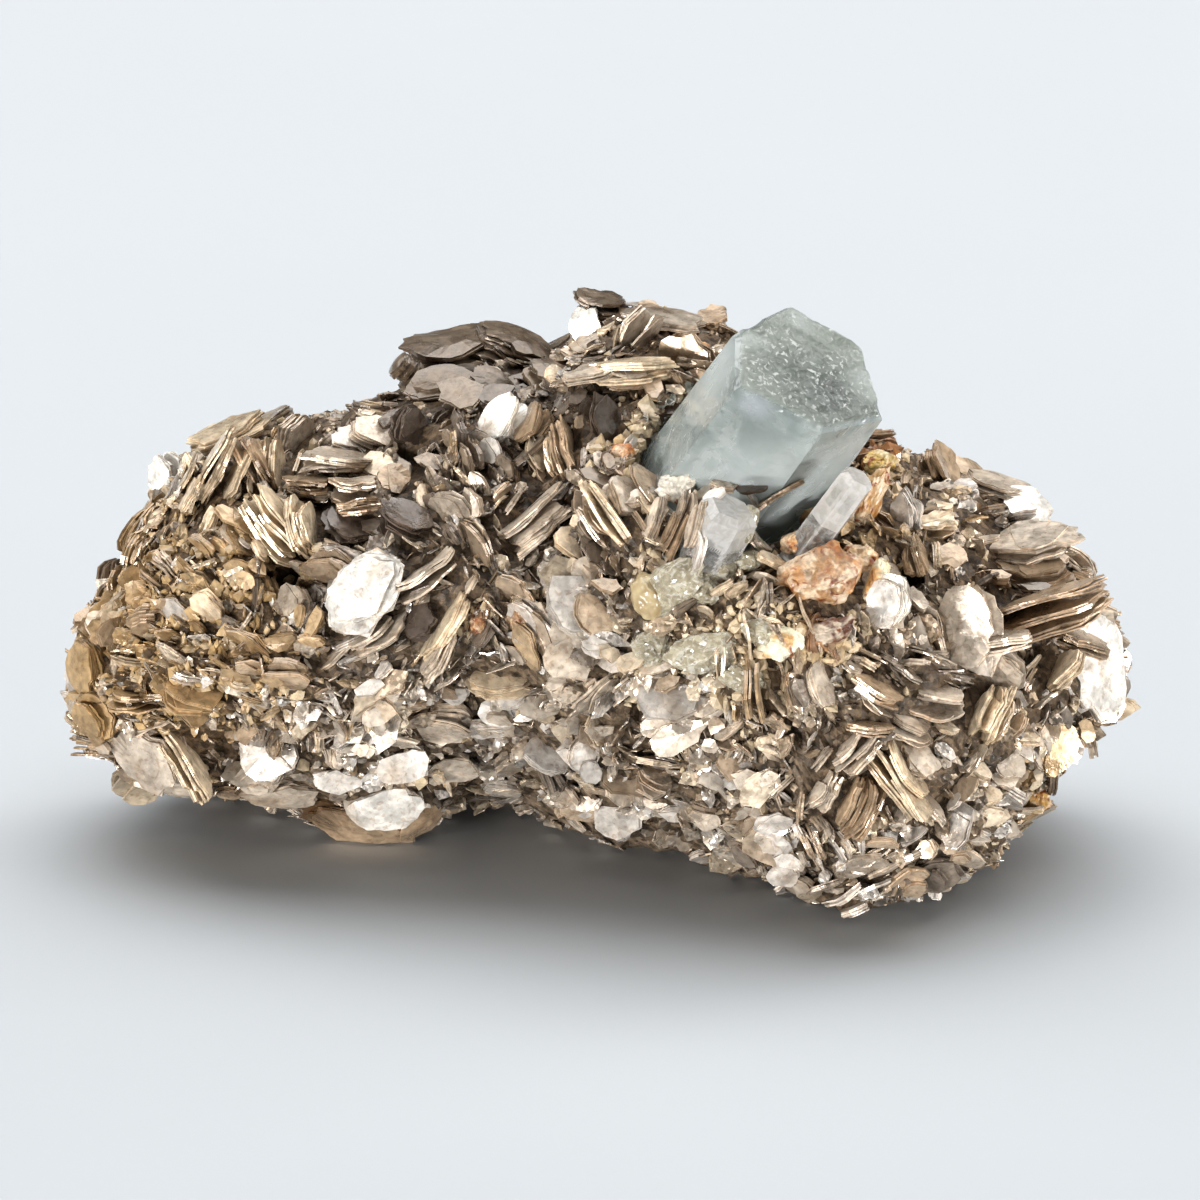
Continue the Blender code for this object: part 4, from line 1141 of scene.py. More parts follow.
def beryl_finish():
    """Beryl, aquamarine: light goes deep into it through milky veils; the etched end is duller and flecked.

    The faces' own marks say how near an edge they are, in red, and how far they belong to the end, in green.
    """
    colours = bpy.context.scene.specimen_colours
    milk = linear("b2b8b4")
    settings = {"IOR": 1.577, "Transmission Weight": 0.5, "Specular IOR Level": 0.35}
    finish, tree, shader = new_finish("Beryl, aquamarine with milky veils", settings)
    marks = parts_of(tree, attribute(tree, "tint")["Color"])
    edge, end = marks["Red"], marks["Green"]
    place = object_place(tree)

    def spotted(base, spots):
        """A colour with spots over it, each full near its middle and gone from its radius on."""
        for spot, radius, most, colour in spots:
            centre = (np.array(show(*spot, nearest_face(*spot))) + solid_shift()) * MM
            away = vector_step(tree, "DISTANCE", {1: tuple(centre)}, {0: place})["Value"]
            share = ramp(tree, away, SPOT_CORE * radius * MM, radius * MM, most, 0.0)
            base = mixed(tree, share, base, linear(colour))
        return base

    veil = blotches(tree, (4.5, 4.0, 1.6), 0.38, 0.64, 0.0, 0.9)
    murk = blotches(tree, (2.2, 3.0, 2.0), 0.56, 0.70, 0.0, 0.55)
    body = mixed(tree, murk, mixed(tree, veil, colours.beryl, milk), linear("727a77"))
    frost = blotches(tree, (2.0, 3.0, 1.2), 0.52, 0.70, 0.0, 0.35)
    frosted = mixed(tree, frost, spotted(colours.beryl_end, END_SPOTS), linear("b9bfb8"))
    crowded = blotches(tree, (3.2, 2.0, 1.0), 0.38, 0.60, 0.1, 1.0)
    flecks = blotches(tree, (0.55, 3.0, 0.7), 0.56, 0.63, 0.0, 1.0)
    pitted = mixed(tree, times(tree, crowded, flecks), frosted, linear("e6e8e2"))
    surface = mixed(tree, end, spotted(body, FACE_SPOTS), pitted)
    # white along the edges: partly chips, partly a painted highlight
    chips_and_highlight = mixed(tree, blotches(tree, (0.9, 3.0), 0.50, 0.62, 0.0, 0.4), (0.0, 0.0, 0.0), edge)
    dull = ramp(tree, veil, 0.0, 1.0, 0.12, 0.34)
    grain = bumps(tree, 0.3, mottle(tree, 0.7, 3.0), 0.08)
    link(tree, shader, {
        "Base Color": mixed(tree, chips_and_highlight, surface, milk),
        "Roughness": mixed(tree, end, dull, (0.42, 0.42, 0.42)),
        "Normal": bumps(tree, end, mottle(tree, 0.9, 3.0), 0.3, grain),
    })
    absorb(tree, linear("c9d6cf"), 12.0)
    return finish


def quartz_finish():
    """Quartz, clear with milky veils: white along its edges, and painted dark grey where one looks into it,
    standing in for the dark seen through it.

    The faces' marks say how near an edge they are, in red, and where one looks in, in green.
    """
    clear = tuple(bpy.context.scene.specimen_colours.quartz)
    finish, tree, shader = new_finish("Quartz, clear crystal", {"IOR": 1.544, "Transmission Weight": 0.6})
    marks = parts_of(tree, attribute(tree, "tint")["Color"])
    veil = blotches(tree, (1.3, 4.0, 1.6), 0.40, 0.60, 0.0, 1.0)
    smoke = blotches(tree, (1.1, 4.0, 1.0), 0.36, 0.62, 0.95, 0.45)
    body = mixed(tree, veil, clear, linear("e2dfd9"))
    # painted shade: the dark seen through the clear crystal, where one looks in
    painted_dark_window = mixed(tree, times(tree, smoke, marks["Green"]), body, linear("3a3832"))
    chips = blotches(tree, (0.8, 3.0), 0.36, 0.60, 0.2, 0.9)
    link(tree, shader, {
        "Base Color": mixed(tree, times(tree, chips, marks["Red"]), painted_dark_window, linear("eae7e2")),
        "Roughness": ramp(tree, veil, 0.0, 1.0, 0.04, 0.25),
        "Normal": bumps(tree, 0.35, mottle(tree, 1.0, 2.0), 0.1),
    })
    absorb(tree, clear, 1.0)
    return finish


def milky_finish():
    """Quartz, milky: a cracked, cloudy mass that light goes a little way into."""
    settings = {"IOR": 1.544, "Transmission Weight": 0.25}
    finish, tree, shader = new_finish("Quartz, milky and cracked", settings)
    cloud = blotches(tree, (1.8, 3.0, 1.4), 0.36, 0.64, 0.0, 1.0)
    cracks = blotches(tree, (1.2, 5.0, 2.4), 0.53, 0.62, 0.0, 0.65)
    body = mixed(tree, cloud, linear("8a806a"), linear("b2a88e"))
    link(tree, shader, {
        "Base Color": mixed(tree, cracks, body, linear("ccc7ba")),
        "Roughness": ramp(tree, cloud, 0.0, 1.0, 0.10, 0.35),
        "Normal": bumps(tree, 0.5, mottle(tree, 1.4, 2.0), 0.2),
    })
    return finish


def waxy_finish():
    """Albite, cream and waxy, faintly clouded."""
    finish, tree, shader = new_finish("Albite, waxy cream", {"IOR": 1.53, "Roughness": 0.3})
    cloud = blotches(tree, (2.0,), 0.4, 0.65, 0.0, 1.0)
    link(tree, shader, {"Base Color": mixed(tree, cloud, linear("8e7a58"), linear("ac9d7a"))})
    return finish


def stained_finish():
    """Feldspar, stained by iron: pale, ochre and rusty in blotches, with a sugary break."""
    finish, tree, shader = new_finish("Feldspar, stained by iron", {"IOR": 1.53, "Roughness": 0.38})
    tint = attribute(tree, "tint")["Color"]
    lighter = mixed(tree, 0.6, times(tree, tint, (1.4, 1.45, 1.6)), linear("c9bda6"))
    cloud = mixed(tree, blotches(tree, (3.4, 3.0, 1.0), 0.45, 0.54, 0.0, 0.9), tint, lighter)
    ochre = blotches(tree, (4.0, 3.0, 0.8), 0.54, 0.62, 0.0, 0.9)
    cloud = mixed(tree, ochre, cloud, times(tree, cloud, linear("e4b478")))
    cloud = times(tree, cloud, blotches(tree, (0.5, 4.0), 0.36, 0.64, 0.72, 1.2))
    rust = blotches(tree, (1.3, 5.0, 0.8), 0.57, 0.66, 0.0, 1.0)
    link(tree, shader, {
        "Base Color": mixed(tree, rust, cloud, times(tree, cloud, linear("a8683c"))),
        "Normal": bumps(tree, 0.55, mottle(tree, 0.6, 4.0), 0.2),
    })
    return finish


# Pieces


def face_below(places):
    """For each place, the nearest point of the rock's face and the way out from it."""
    found = [solid_rock().find_nearest(Vector(place))[:2] for place in places]
    return np.array([tuple(foot) for foot, _ in found]), np.array([tuple(out) for _, out in found])


def painted_crevice_shade(points, triangles, owner, centre):
    """Mica is painted darker and browner the deeper it stands in the rock: painted shade of the crevices
    between the sheets.
    """
    foot, out = face_below(centre)
    lift = dots(points[triangles].mean(axis=1) - foot[owner], out[owner])
    height = np.interp(lift, PAINTED_SHADE_RANGE, (0.0, 1.0))[:, None]
    return np.array(PAINTED_SHADE_LEFT) * (1.0 - height) + height


def make_packs(name, seed, rows, tints, most=40, finer=1.0, fine=False, **settings):
    """One mesh of mica packs from rows of centre, face, edge, half length, half width and thickness."""
    draw = np.random.default_rng(seed)
    parts = [np.array([tuple(row[part]) for row in rows]) for part in range(3)]
    parts += [np.array([row[part] for row in rows]) for part in range(3, 6)]
    centre, thick = parts[0], parts[5]
    sheet = bpy.context.scene.specimen_sizes.sheet / MM * finer
    sheets = np.clip(np.round(thick / sheet).astype(int), 2, most)
    points, triangles, owner, shade, rim, heights = packs(draw, *parts, sheets, **settings)
    colours = tints[owner] * shade[:, None]
    colours = np.where(rim[:, None], colours * np.array(RIM_TINT), colours)
    # painted shade: sheets are darker the deeper they stand in the crevices
    colours = colours * painted_crevice_shade(points, triangles, owner, centre)
    standing = ((centre + solid_shift())[:, 2] > LOWEST_CENTRE)[owner]
    used, triangles = np.unique(triangles[standing], return_inverse=True)
    piece = mesh_piece(
        name, points[used], triangles.reshape(-1, 3), mica_finish(fine), colours[standing], rim=rim[standing],
        heights=heights[used],
    )
    return piece


def ring_faces(grid):
    """Triangles between rings of points, which the grid numbers."""
    beyond = np.roll(grid, -1, axis=1)
    here, beside, above, corner = grid[:-1], beyond[:-1], grid[1:], beyond[1:]
    halves = ((here, beside, corner), (here, corner, above))
    return [np.stack(half, -1).reshape(-1, 3) for half in halves]


def tip_faces(ring, tip):
    """Triangles from a ring of points to one point."""
    return np.stack([ring, np.roll(ring, -1), np.full(len(ring), tip)], -1)


def fine_rock():
    """The rock's skin in fine grains: points, triangles and outward directions."""
    points, outs = [], []
    for index in range(FINE_SLICES):
        across = slice_place(index, FINE_SLICES)
        ring = [section_point(across, math.tau * turn / FINE_RING) for turn in range(FINE_RING)]
        centre = sum(ring, Vector()) / FINE_RING
        for point in ring:
            moved = lumpy(point, centre)
            outward = (point - centre).normalized()
            rough = sum(size * noise.noise(moved / spacing) for spacing, size in SKIN_GRAINS)
            points.append(tuple(moved + outward * (rough - SKIN_SINK)))
            outs.append(tuple(outward))
    grid = np.arange(FINE_SLICES * FINE_RING).reshape(FINE_SLICES, FINE_RING)
    points = np.array(points)
    ends = ((grid[0], -END_POINT / 2), (grid[-1], END_POINT / 2))
    tips = [points[ring].mean(axis=0) + (shift, 0, 0) for ring, shift in ends]
    faces = ring_faces(grid)
    faces += [tip_faces(grid[0], len(points))[:, ::-1], tip_faces(grid[-1], len(points) + 1)]
    outs += [(-1, 0, 0), (1, 0, 0)]
    return np.concatenate([points, np.array(tips)]), np.concatenate(faces), np.array(outs)


def round_foot(crystal, points, wide, past, above):
    """Which points lie round a crystal or under its root, and the way from each to past the root."""
    tip, axis, _, _ = crystal_frame(crystal)
    radius, length = crystal[3:5]
    drop = (tip - points) @ axis
    aside = np.linalg.norm(points - (tip - drop[:, None] * axis), axis=1)
    near = (aside < radius * wide) & (drop < length + past) & (drop > -above * radius)
    return near, (length + past - drop)[:, None] * -axis


def sink_sockets(points):
    """Presses the rock's skin in under each crystal's root, clear of the crystal."""
    for crystal, _, _ in PRISMS:
        inside, way = round_foot(crystal, points, *SOCKET)
        points[inside] += way[inside]
    return points


def in_sockets(points):
    """Whether each point lies at a crystal's foot or under its root, where pale albite grew."""
    return np.any([round_foot(crystal, points, *FOOT)[0] for crystal, _, _ in PRISMS], axis=0)


def in_holes(points, outward):
    """How deep in a hole of the show side each point lies: 1 at its middle, falling off past its radius."""
    across, up = show_places(points)
    return np.max([nearness(across, up, *hole) for hole in HOLES], axis=0) * (outward @ SEEN > 0)


@lru_cache(maxsize=None)
def rock_skin():
    """The rock's skin with its holes and sockets pressed in: points, triangles and outward directions."""
    points, triangles, outward = fine_rock()
    points -= SEEN * (HOLE_DEPTH * in_holes(points, outward))[:, None]
    return sink_sockets(points), triangles, outward


class SPECIMEN_OT_rock(bpy.types.Operator):
    """Builds the rock's grainy skin, which stands for the mica matrix solid."""

    bl_idname = "specimen.rock"
    bl_label = "Rock skin"

    def execute(self, context):
        points, triangles, outward = rock_skin()
        draw = np.random.default_rng(SEEDS["skin"])
        middles = points[triangles].mean(axis=1)
        facing = outward[triangles[:, 0]]
        each = (len(triangles), 1)
        # painted shade: the skin between the sheets is darkened, as well as browned
        tints = colour_weights(middles) @ colour_table() * np.array(SKIN_BROWN_AND_PAINTED_SHADE)
        tints = tints * draw.uniform(*SKIN_VARIES, each)
        bare = np.interp(facing @ SEEN, BARE_FACING, (1.0, 0.0))[:, None]
        tints = tints * (1.0 + bare * (np.array(BARE_LIGHTER) - 1.0))
        # painted shade in the holes between the books
        tints = tints * (1.0 - (1.0 - HOLE_PAINTED_SHADE) * in_holes(middles, facing)[:, None])
        albite = np.array(linear(FOOT_ALBITE)) * draw.uniform(*FOOT_VARIES, each)
        tints = np.where(in_sockets(middles)[:, None], albite, tints)
        rock = mesh_piece("mica_rock", points, triangles, skin_finish(), tints)
        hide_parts("mica_matrix")
        return {"FINISHED"}


class SPECIMEN_OT_books(bpy.types.Operator):
    """Builds the large mica books, cluster by cluster."""

    bl_idname = "specimen.books"
    bl_label = "Mica books"

    def execute(self, context):
        rows = list(named_places())
        colours = palette()
        for index, (name, cluster) in enumerate(BOOKS.items()):
            mine, rows = rows[:len(cluster)], rows[len(cluster):]
            tints = np.array([colours[row[6]] for row in mine])
            calm, bow = CALM_CLUSTERS.get(name, (0.0, 0.0))
            seed = SEEDS["books"] + index
            make_packs(name, seed, mine, tints, corners=24, rings=2, fan=0.10, calm=calm, bow=bow)
        blades = [stood(blade, nearest_face) for blade in BLADES]
        tints = np.array([colours[row[6]] for row in blades])
        make_packs("foot_blades", SEEDS["blades"], blades, tints, corners=18, rings=2, fan=0.12)
        return {"FINISHED"}


class SPECIMEN_OT_small_books(bpy.types.Operator):
    """Builds the smaller books that stand all round the rock."""

    bl_idname = "specimen.small_books"
    bl_label = "Small books"

    def execute(self, context):
        rows = small_places()
        places, outward = (np.array([tuple(row[part]) for row in rows]) for part in (0, 6))
        tints = drawn_colours(np.random.default_rng(SEEDS["small tints"]), places)
        make_packs(
            "small_books", SEEDS["small packs"], rows, tints, corners=14, rings=1, fan=0.16, outward=outward
        )
        return {"FINISHED"}


# Shards and flakes

OVER_SHARE = 0.8  # a place is over a book where it lies within this share of its squared reach
SWIRL = 5.0  # how far directions turn round with the noise, in radians
STEEP_SPACING = 6.5  # spacing of another noise, which lays them flat or steep
STEEP_SHIFT = (40.0, 0.0, 0.0)  # how far apart the two are read
STEEP_SWING = 90.0  # degrees that it tilts them by
STEEP_LOOSE = 30.0  # and degrees that each tilts by itself
STEEP_UP = (-14.0, 2.0)  # heights up between which they go from the low angle to the high one
STEEP_RANGE = (4, 86)  # degrees that they keep between
LEVEL_FROM = (0.3, 0.2, 1.0)  # their level lines are square to this
# Sizes of shards, of flakes and of grains: middle and spread of the logarithm, and the least and the most
SHARD_LENGTHS = (0.82, 0.30, 1.3, 4.0)
FLAKE_LENGTHS = (0.0, 0.42, 0.45, 2.7)
GRAIN_RADII = (0.0, 0.35, 0.5, 2.2)
FLAKE_ROOM = 0.6  # a flake's middle stands at least this share of its length over the floor
FLAKE_ALIKE_UP = (-16.0, -4.0)  # heights up between which the share of flakes that lie like their neighbours
FLAKE_ALIKE = (0.4, 0.85)  # goes from the first of these to the second


def drawn_sizes(draw, count, middle, spread, least, most):
    """Lognormal sizes, kept between two limits."""
    return np.clip(draw.lognormal(middle, spread, count), least, most)


def over_books(points, margin=2.5):
    """Whether each point would hide the face of a large book."""
    hidden = np.zeros(len(points), bool)
    for centre, normal, along, length, width, thick, _ in named_places():
        from_centre = points - np.array(centre)
        x = from_centre @ np.array(along)
        y = from_centre @ np.array(normal.cross(along))
        z = from_centre @ np.array(normal)
        within = (x / length) ** 2 + (y / width) ** 2 < OVER_SHARE
        hidden |= within & (z > -thick / 2) & (z < thick / 2 + margin)
    return hidden


def scattered(draw, count, density):
    """Random points on the rock's skin and the ways out there, by area and by a density for each."""
    points, triangles, outward = rock_skin()
    corners = points[triangles]
    area = np.linalg.norm(np.cross(corners[:, 1] - corners[:, 0], corners[:, 2] - corners[:, 0]), axis=1)
    middle = corners.mean(axis=1)
    out = outward[triangles].mean(axis=1)
    share = area * density(middle, out) * (middle[:, 2] > LOWEST_GROWTH)
    at = draw.choice(len(triangles), count, p=share / share.sum())
    weight = draw.dirichlet((1.0, 1.0, 1.0), count)
    return (corners[at] * weight[..., None]).sum(axis=1), units(out[at])


@lru_cache(maxsize=None)
def book_poses():
    """Centres and face directions of all books, large and small."""
    rows = [*named_places(), *small_places()]
    return tuple(np.array([tuple(row[part]) for row in rows]) for part in range(2))


def like_neighbours(draw, points, outward, own, *, near, spread):
    """Directions given, turned to that of the nearest book where one stands within this distance.

    They open out from the book to both sides, as the sheets of a fan do.
    """
    places, faces = book_poses()
    gaps = np.linalg.norm(points[:, None] - places[None], axis=2)
    nearest = gaps.argmin(axis=1)
    face = faces[nearest]
    aside = outward - dots(outward, face)[:, None] * face
    aside /= np.maximum(np.linalg.norm(aside, axis=1), LEAST_ASIDE)[:, None]
    turn = np.clip(dots(points - places[nearest], face) * FAN_RATE, -FAN_MOST, FAN_MOST)[:, None]
    alike = face * np.cos(turn) - aside * np.sin(turn)
    turned = np.where((gaps.min(axis=1) < near)[:, None], alike, own)
    return units(turned + draw.normal(0, spread, (len(points), 3)))


def swirling(draw, points, outward, *, spacing, low, high, loose):
    """Directions that turn slowly over the rock and lean from its own by low to high degrees."""
    swirl = np.array([noise.noise(Vector(point) / spacing) for point in points]) * SWIRL
    swirl += draw.normal(0, loose, len(points))
    shift = Vector(STEEP_SHIFT)
    calm = np.array([noise.noise(Vector(point) / STEEP_SPACING + shift) for point in points])
    _, up = show_places(points)
    steep = np.interp(up, STEEP_UP, (low, high)) + STEEP_SWING * calm
    steep = steep + draw.normal(0, STEEP_LOOSE * loose, len(points))
    steep = np.radians(np.clip(steep, *STEEP_RANGE))[:, None]
    level = units(np.cross(outward, np.array(LEVEL_FROM)))
    aside = level * np.cos(swirl)[:, None] + np.cross(outward, level) * np.sin(swirl)[:, None]
    return outward * np.cos(steep) + aside * np.sin(steep)


def zoned_packs(zones, seed, tints, parts, outward, **settings):
    """Packs as one mesh for each zone, from the parts of their rows."""
    for index, (name, zone) in enumerate(zones.items()):
        mine = np.flatnonzero(zone)
        rows = [tuple(part[at] for part in parts) for at in mine]
        make_packs(name, seed + index, rows, tints[mine], outward=outward[mine], rings=1, **settings)


class SPECIMEN_OT_shards(bpy.types.Operator):
    """Builds the middle-sized mica packs between the books, lying as the books near them do."""

    bl_idname = "specimen.shards"
    bl_label = "Mica shards"

    def execute(self, context):
        draw = np.random.default_rng(SEEDS["shards"])
        count = context.scene.specimen_sizes.shards
        points, outward = scattered(draw, count, lambda _, out: 0.5 + 2.0 * np.clip(out @ SEEN + 0.1, 0, 1))
        normal = swirling(draw, points, outward, spacing=12.0, low=40.0, high=60.0, loose=0.35)
        normal = like_neighbours(draw, points, outward, normal, near=7.0, spread=0.12)
        along = units(np.cross(normal, outward))
        length = drawn_sizes(draw, count, *SHARD_LENGTHS)
        width = length * draw.uniform(0.45, 0.85, count)
        thick = draw.uniform(0.28, 0.95, count)
        reach = width * np.sqrt(1 - dots(normal, outward) ** 2)
        rim = np.abs(outward @ SEEN) < RIM_FACING
        lift = draw.uniform(0.3, np.where(rim, 1.2, 2.6))
        centre = points + outward * (lift - reach)[:, None]
        keep = (clearances(points + outward * lift[:, None]) > length * 0.3) & ~over_books(points, 1.5)
        keep &= in_holes(centre, outward) < HOLE_CLEAR
        tints = drawn_colours(draw, points)
        across, _ = show_places(points)
        zones = {
            "left_shards": keep & (across < -18.0),
            "middle_shards": keep & (across >= -18.0) & (across < 18.0),
            "right_shards": keep & (across >= 18.0),
        }
        parts = (centre, normal, along, length, width, thick)
        zoned_packs(
            zones, SEEDS["shard packs"], tints, parts, outward, corners=12, fan=0.15, ragged=0.05, finer=0.8
        )
        return {"FINISHED"}


class SPECIMEN_OT_flakes(bpy.types.Operator):
    """Covers the rock in small packs of mica flakes, as they grew between the books."""

    bl_idname = "specimen.flakes"
    bl_label = "Mica flakes"

    def execute(self, context):
        sizes = context.scene.specimen_sizes
        draw = np.random.default_rng(SEEDS["flakes"])
        count = sizes.flakes
        points, outward = scattered(draw, count, lambda _, out: 0.8 + 1.8 * np.clip(out @ SEEN, 0, 1))
        length = drawn_sizes(draw, count, *FLAKE_LENGTHS) * sizes.flake / MM
        normal = swirling(draw, points, outward, spacing=9.0, low=44.0, high=58.0, loose=0.5)
        alike = like_neighbours(draw, points, outward, normal, near=6.0, spread=0.25)
        _, up = show_places(points)
        joins = draw.random(count) < np.interp(up, FLAKE_ALIKE_UP, FLAKE_ALIKE)
        normal = np.where(joins[:, None], alike, normal)
        along = units(np.cross(normal, outward))
        width = length * draw.uniform(0.45, 0.95, count)
        thick = length * draw.uniform(0.07, 0.24, count)
        centre = points + outward * (length * draw.uniform(-0.1, 0.5, count))[:, None]
        keep = (clearances(centre) > length * 0.25) & ~over_books(centre)
        keep &= in_holes(centre, outward) < HOLE_CLEAR
        keep &= (centre + solid_shift())[:, 2] > FLAKE_ROOM * length
        tints = drawn_colours(draw, centre)
        across, _ = show_places(centre)
        front = keep & (outward @ SEEN > 0.0)
        back = keep & ~front
        zones = {
            "front_flakes_left": front & (across < -20.0),
            "front_flakes_middle": front & (across >= -20.0) & (across < 20.0),
            "front_flakes_right": front & (across >= 20.0),
            "back_flakes_left": back & (across < 0.0),
            "back_flakes_right": back & (across >= 0.0),
        }
        parts = (centre, normal, along, length, width, thick)
        zoned_packs(
            zones, SEEDS["flake packs"], tints, parts, outward, corners=7, fan=0.3, ragged=0.10, most=2,
            fine=True,
        )
        return {"FINISHED"}


def mesh_arrays(bm):
    """A mesh as points and triangles."""
    points = np.array([tuple(vert.co) for vert in bm.verts])
    faces = np.array([[vert.index for vert in face.verts] for face in bm.faces])
    bm.free()
    return points, faces


def round_form(subdivisions):
    """A ball of radius one in triangles."""
    bm = bmesh.new()
    bmesh.ops.create_icosphere(bm, subdivisions=subdivisions, radius=1.0)
    return bm


def sugary(middle, out):
    """How thickly albite grains grow: on the left, round the crystals' feet and by rust."""
    across, up = show_places(middle)
    grown = 0.03 + np.exp(-((across + 48) ** 2 / 130 + (up + 2) ** 2 / 110))
    foot = np.exp(-((across - 15) ** 2 / 110 + (up + 4) ** 2 / 70))
    foot += np.exp(-((across - 5) ** 2 / 20 + (up - 14) ** 2 / 25))
    spots = [nearness(across, up, *zone[1:4]) for zone in ZONES if zone[0] == "rust"]
    return (grown + 0.8 * foot + 8.0 * sum(spots)) * np.clip(out @ SEEN + 0.3, 0.03, 1)


class SPECIMEN_OT_grains(bpy.types.Operator):
    """Scatters sugary albite grains in the honey-coloured left and round the crystals' feet."""

    bl_idname = "specimen.grains"
    bl_label = "Albite grains"

    def execute(self, context):
        sizes = context.scene.specimen_sizes
        draw = np.random.default_rng(SEEDS["grains"])
        points, outward = scattered(draw, sizes.grains, sugary)
        radius = drawn_sizes(draw, len(points), *GRAIN_RADII) * sizes.grain / MM
        centre = points + outward * (radius * draw.uniform(-0.2, 0.6, len(points)))[:, None]
        keep = (clearances(centre) > radius) & ~over_books(centre, 1.0)
        centre, radius = centre[keep], radius[keep]
        form, faces = mesh_arrays(round_form(1))
        count = len(centre)
        shape = form[None] * (1 + draw.normal(0, 0.26, (count, len(form), 1)))
        shape = shape * draw.uniform(0.5, 1.4, (count, 1, 3)) * radius[:, None, None]
        triangles = (faces[None] + (np.arange(count) * len(form))[:, None, None]).reshape(-1, 3)
        table = palette()
        names = list(COMMON)
        honey, rust = (colour_weights(centre)[:, names.index(name)] for name in ("honey", "rust"))
        share = np.clip((honey + rust) * 2.2 * draw.uniform(0.4, 1.4, count), 0, 1)[:, None]
        stain = np.where(rust[:, None] > 0.3, table["rust"], table["honey"])
        pale = np.array(context.scene.specimen_colours.albite)
        tints = (pale * (1 - share) + stain * share) * draw.uniform(0.7, 1.1, (count, 1))
        points = (shape + centre[:, None]).reshape(-1, 3)
        tints = np.repeat(tints, len(faces), axis=0)
        piece = mesh_piece("albite_grains", points, triangles, grain_finish(), tints)
        return {"FINISHED"}


AQUAMARINE_SIDES = 26  # fine facets across each face of the large crystal
PRISM_SIDES = 12  # and of the clear ones
END_KEPT = 0.3  # edges are marked from this far below the end, in mm
EDGE_WIDTH = 1.5  # width of the marks, in fine facets
CHIPS = (2.2, 0.12)  # spacing of the chips along the edges, and height of the noise where they start
PITS = ((1.5, 0.30), (0.6, 0.12))  # spacing and depth of the pits of the end
# Spots on the large crystal, one painted over the other: place across and up, radius, strength and colour
SPOT_CORE = 0.2  # share of the radius within which a spot is full
FACE_SPOTS = (
    ((17.8, 7.8), 14.0, 1.0, "dfe6e4"),  # painted light on the wedge at its foot, which lies in shade
    ((26.8, 15.0), 8.0, 0.8, "d4dad8"),  # the right-hand face
    ((18.4, 20.6), 7.0, 0.6, "7c8684"),  # the shade under the end
    ((12.8, 25.6), 8.0, 0.8, "d0d6d2"),  # the left-hand side, made lighter with painted light
    ((16.9, 21.2), 2.4, 0.4, "c6c9d4"),  # the palest of its faces, just under the end
)
END_SPOTS = (
    ((25.2, 22.6), 7.5, 0.9, "262c25"),  # the darkest of the etched end
    ((20.0, 25.6), 5.0, 0.6, "444c42"),  # the shade that runs to it
    ((29.2, 24.0), 3.6, 0.8, "b2b8b2"),  # the pale ones of its rim
    ((22.0, 31.0), 3.0, 0.8, "b2b8b2"),
    ((16.4, 28.6), 2.6, 0.8, "b2b8b2"),
)


def fine_prism(crystal, corners, rings, *, sides, steps, caps):
    """A prism in fine facets from its root to the middle of its end: points, triangles and rings."""
    coarse = crystal_rings(crystal, corners, rings)
    levels = []
    for (low, high), count in zip(zip(coarse, coarse[1:]), steps):
        levels += [low + (high - low) * share for share in np.linspace(0, 1, count, endpoint=False)]
    middle = coarse[-1].mean(axis=0)
    inward = np.linspace(0, 1, caps, endpoint=False)
    levels += [coarse[-1] + (middle - coarse[-1]) * share for share in inward]
    bottom = coarse[0].mean(axis=0)
    levels = [coarse[0] + (bottom - coarse[0]) * share for share in (0.66, 0.33)] + levels
    shares = np.linspace(0, 1, sides, endpoint=False)[:, None]
    rows = []
    for level in levels:
        following = np.roll(level, -1, axis=0)
        rows.append(np.concatenate([a + (b - a) * shares for a, b in zip(level, following)]))
    points = np.concatenate([*rows, middle[None], bottom[None]])
    grid = np.arange(len(rows) * len(rows[0])).reshape(len(rows), len(rows[0]))
    top, under = len(points) - 2, len(points) - 1
    faces = ring_faces(grid) + [tip_faces(grid[-1], top), tip_faces(grid[0], under)[:, (1, 0, 2)]]
    return points, np.concatenate(faces), grid


def prism_marks(crystal, points, triangles, grid, sides):
    """Marks of a prism's triangles, red near its edges; how far down they are, and where across a face."""
    tip, axis, _, _ = crystal_frame(crystal)
    drop = ((tip - points) @ axis)[triangles].mean(axis=1)
    column = np.concatenate([np.tile(np.arange(grid.shape[1]), len(grid)), [0, 0]])
    aside = column % sides
    edge = np.clip(1.0 - np.minimum(aside, sides - aside) / EDGE_WIDTH, 0.0, 1.0)
    marks = np.zeros((len(triangles), 3))
    marks[:, 0] = edge[triangles].max(axis=1) * (drop > END_KEPT)
    return marks, drop, (aside[triangles] % sides).mean(axis=1) / sides


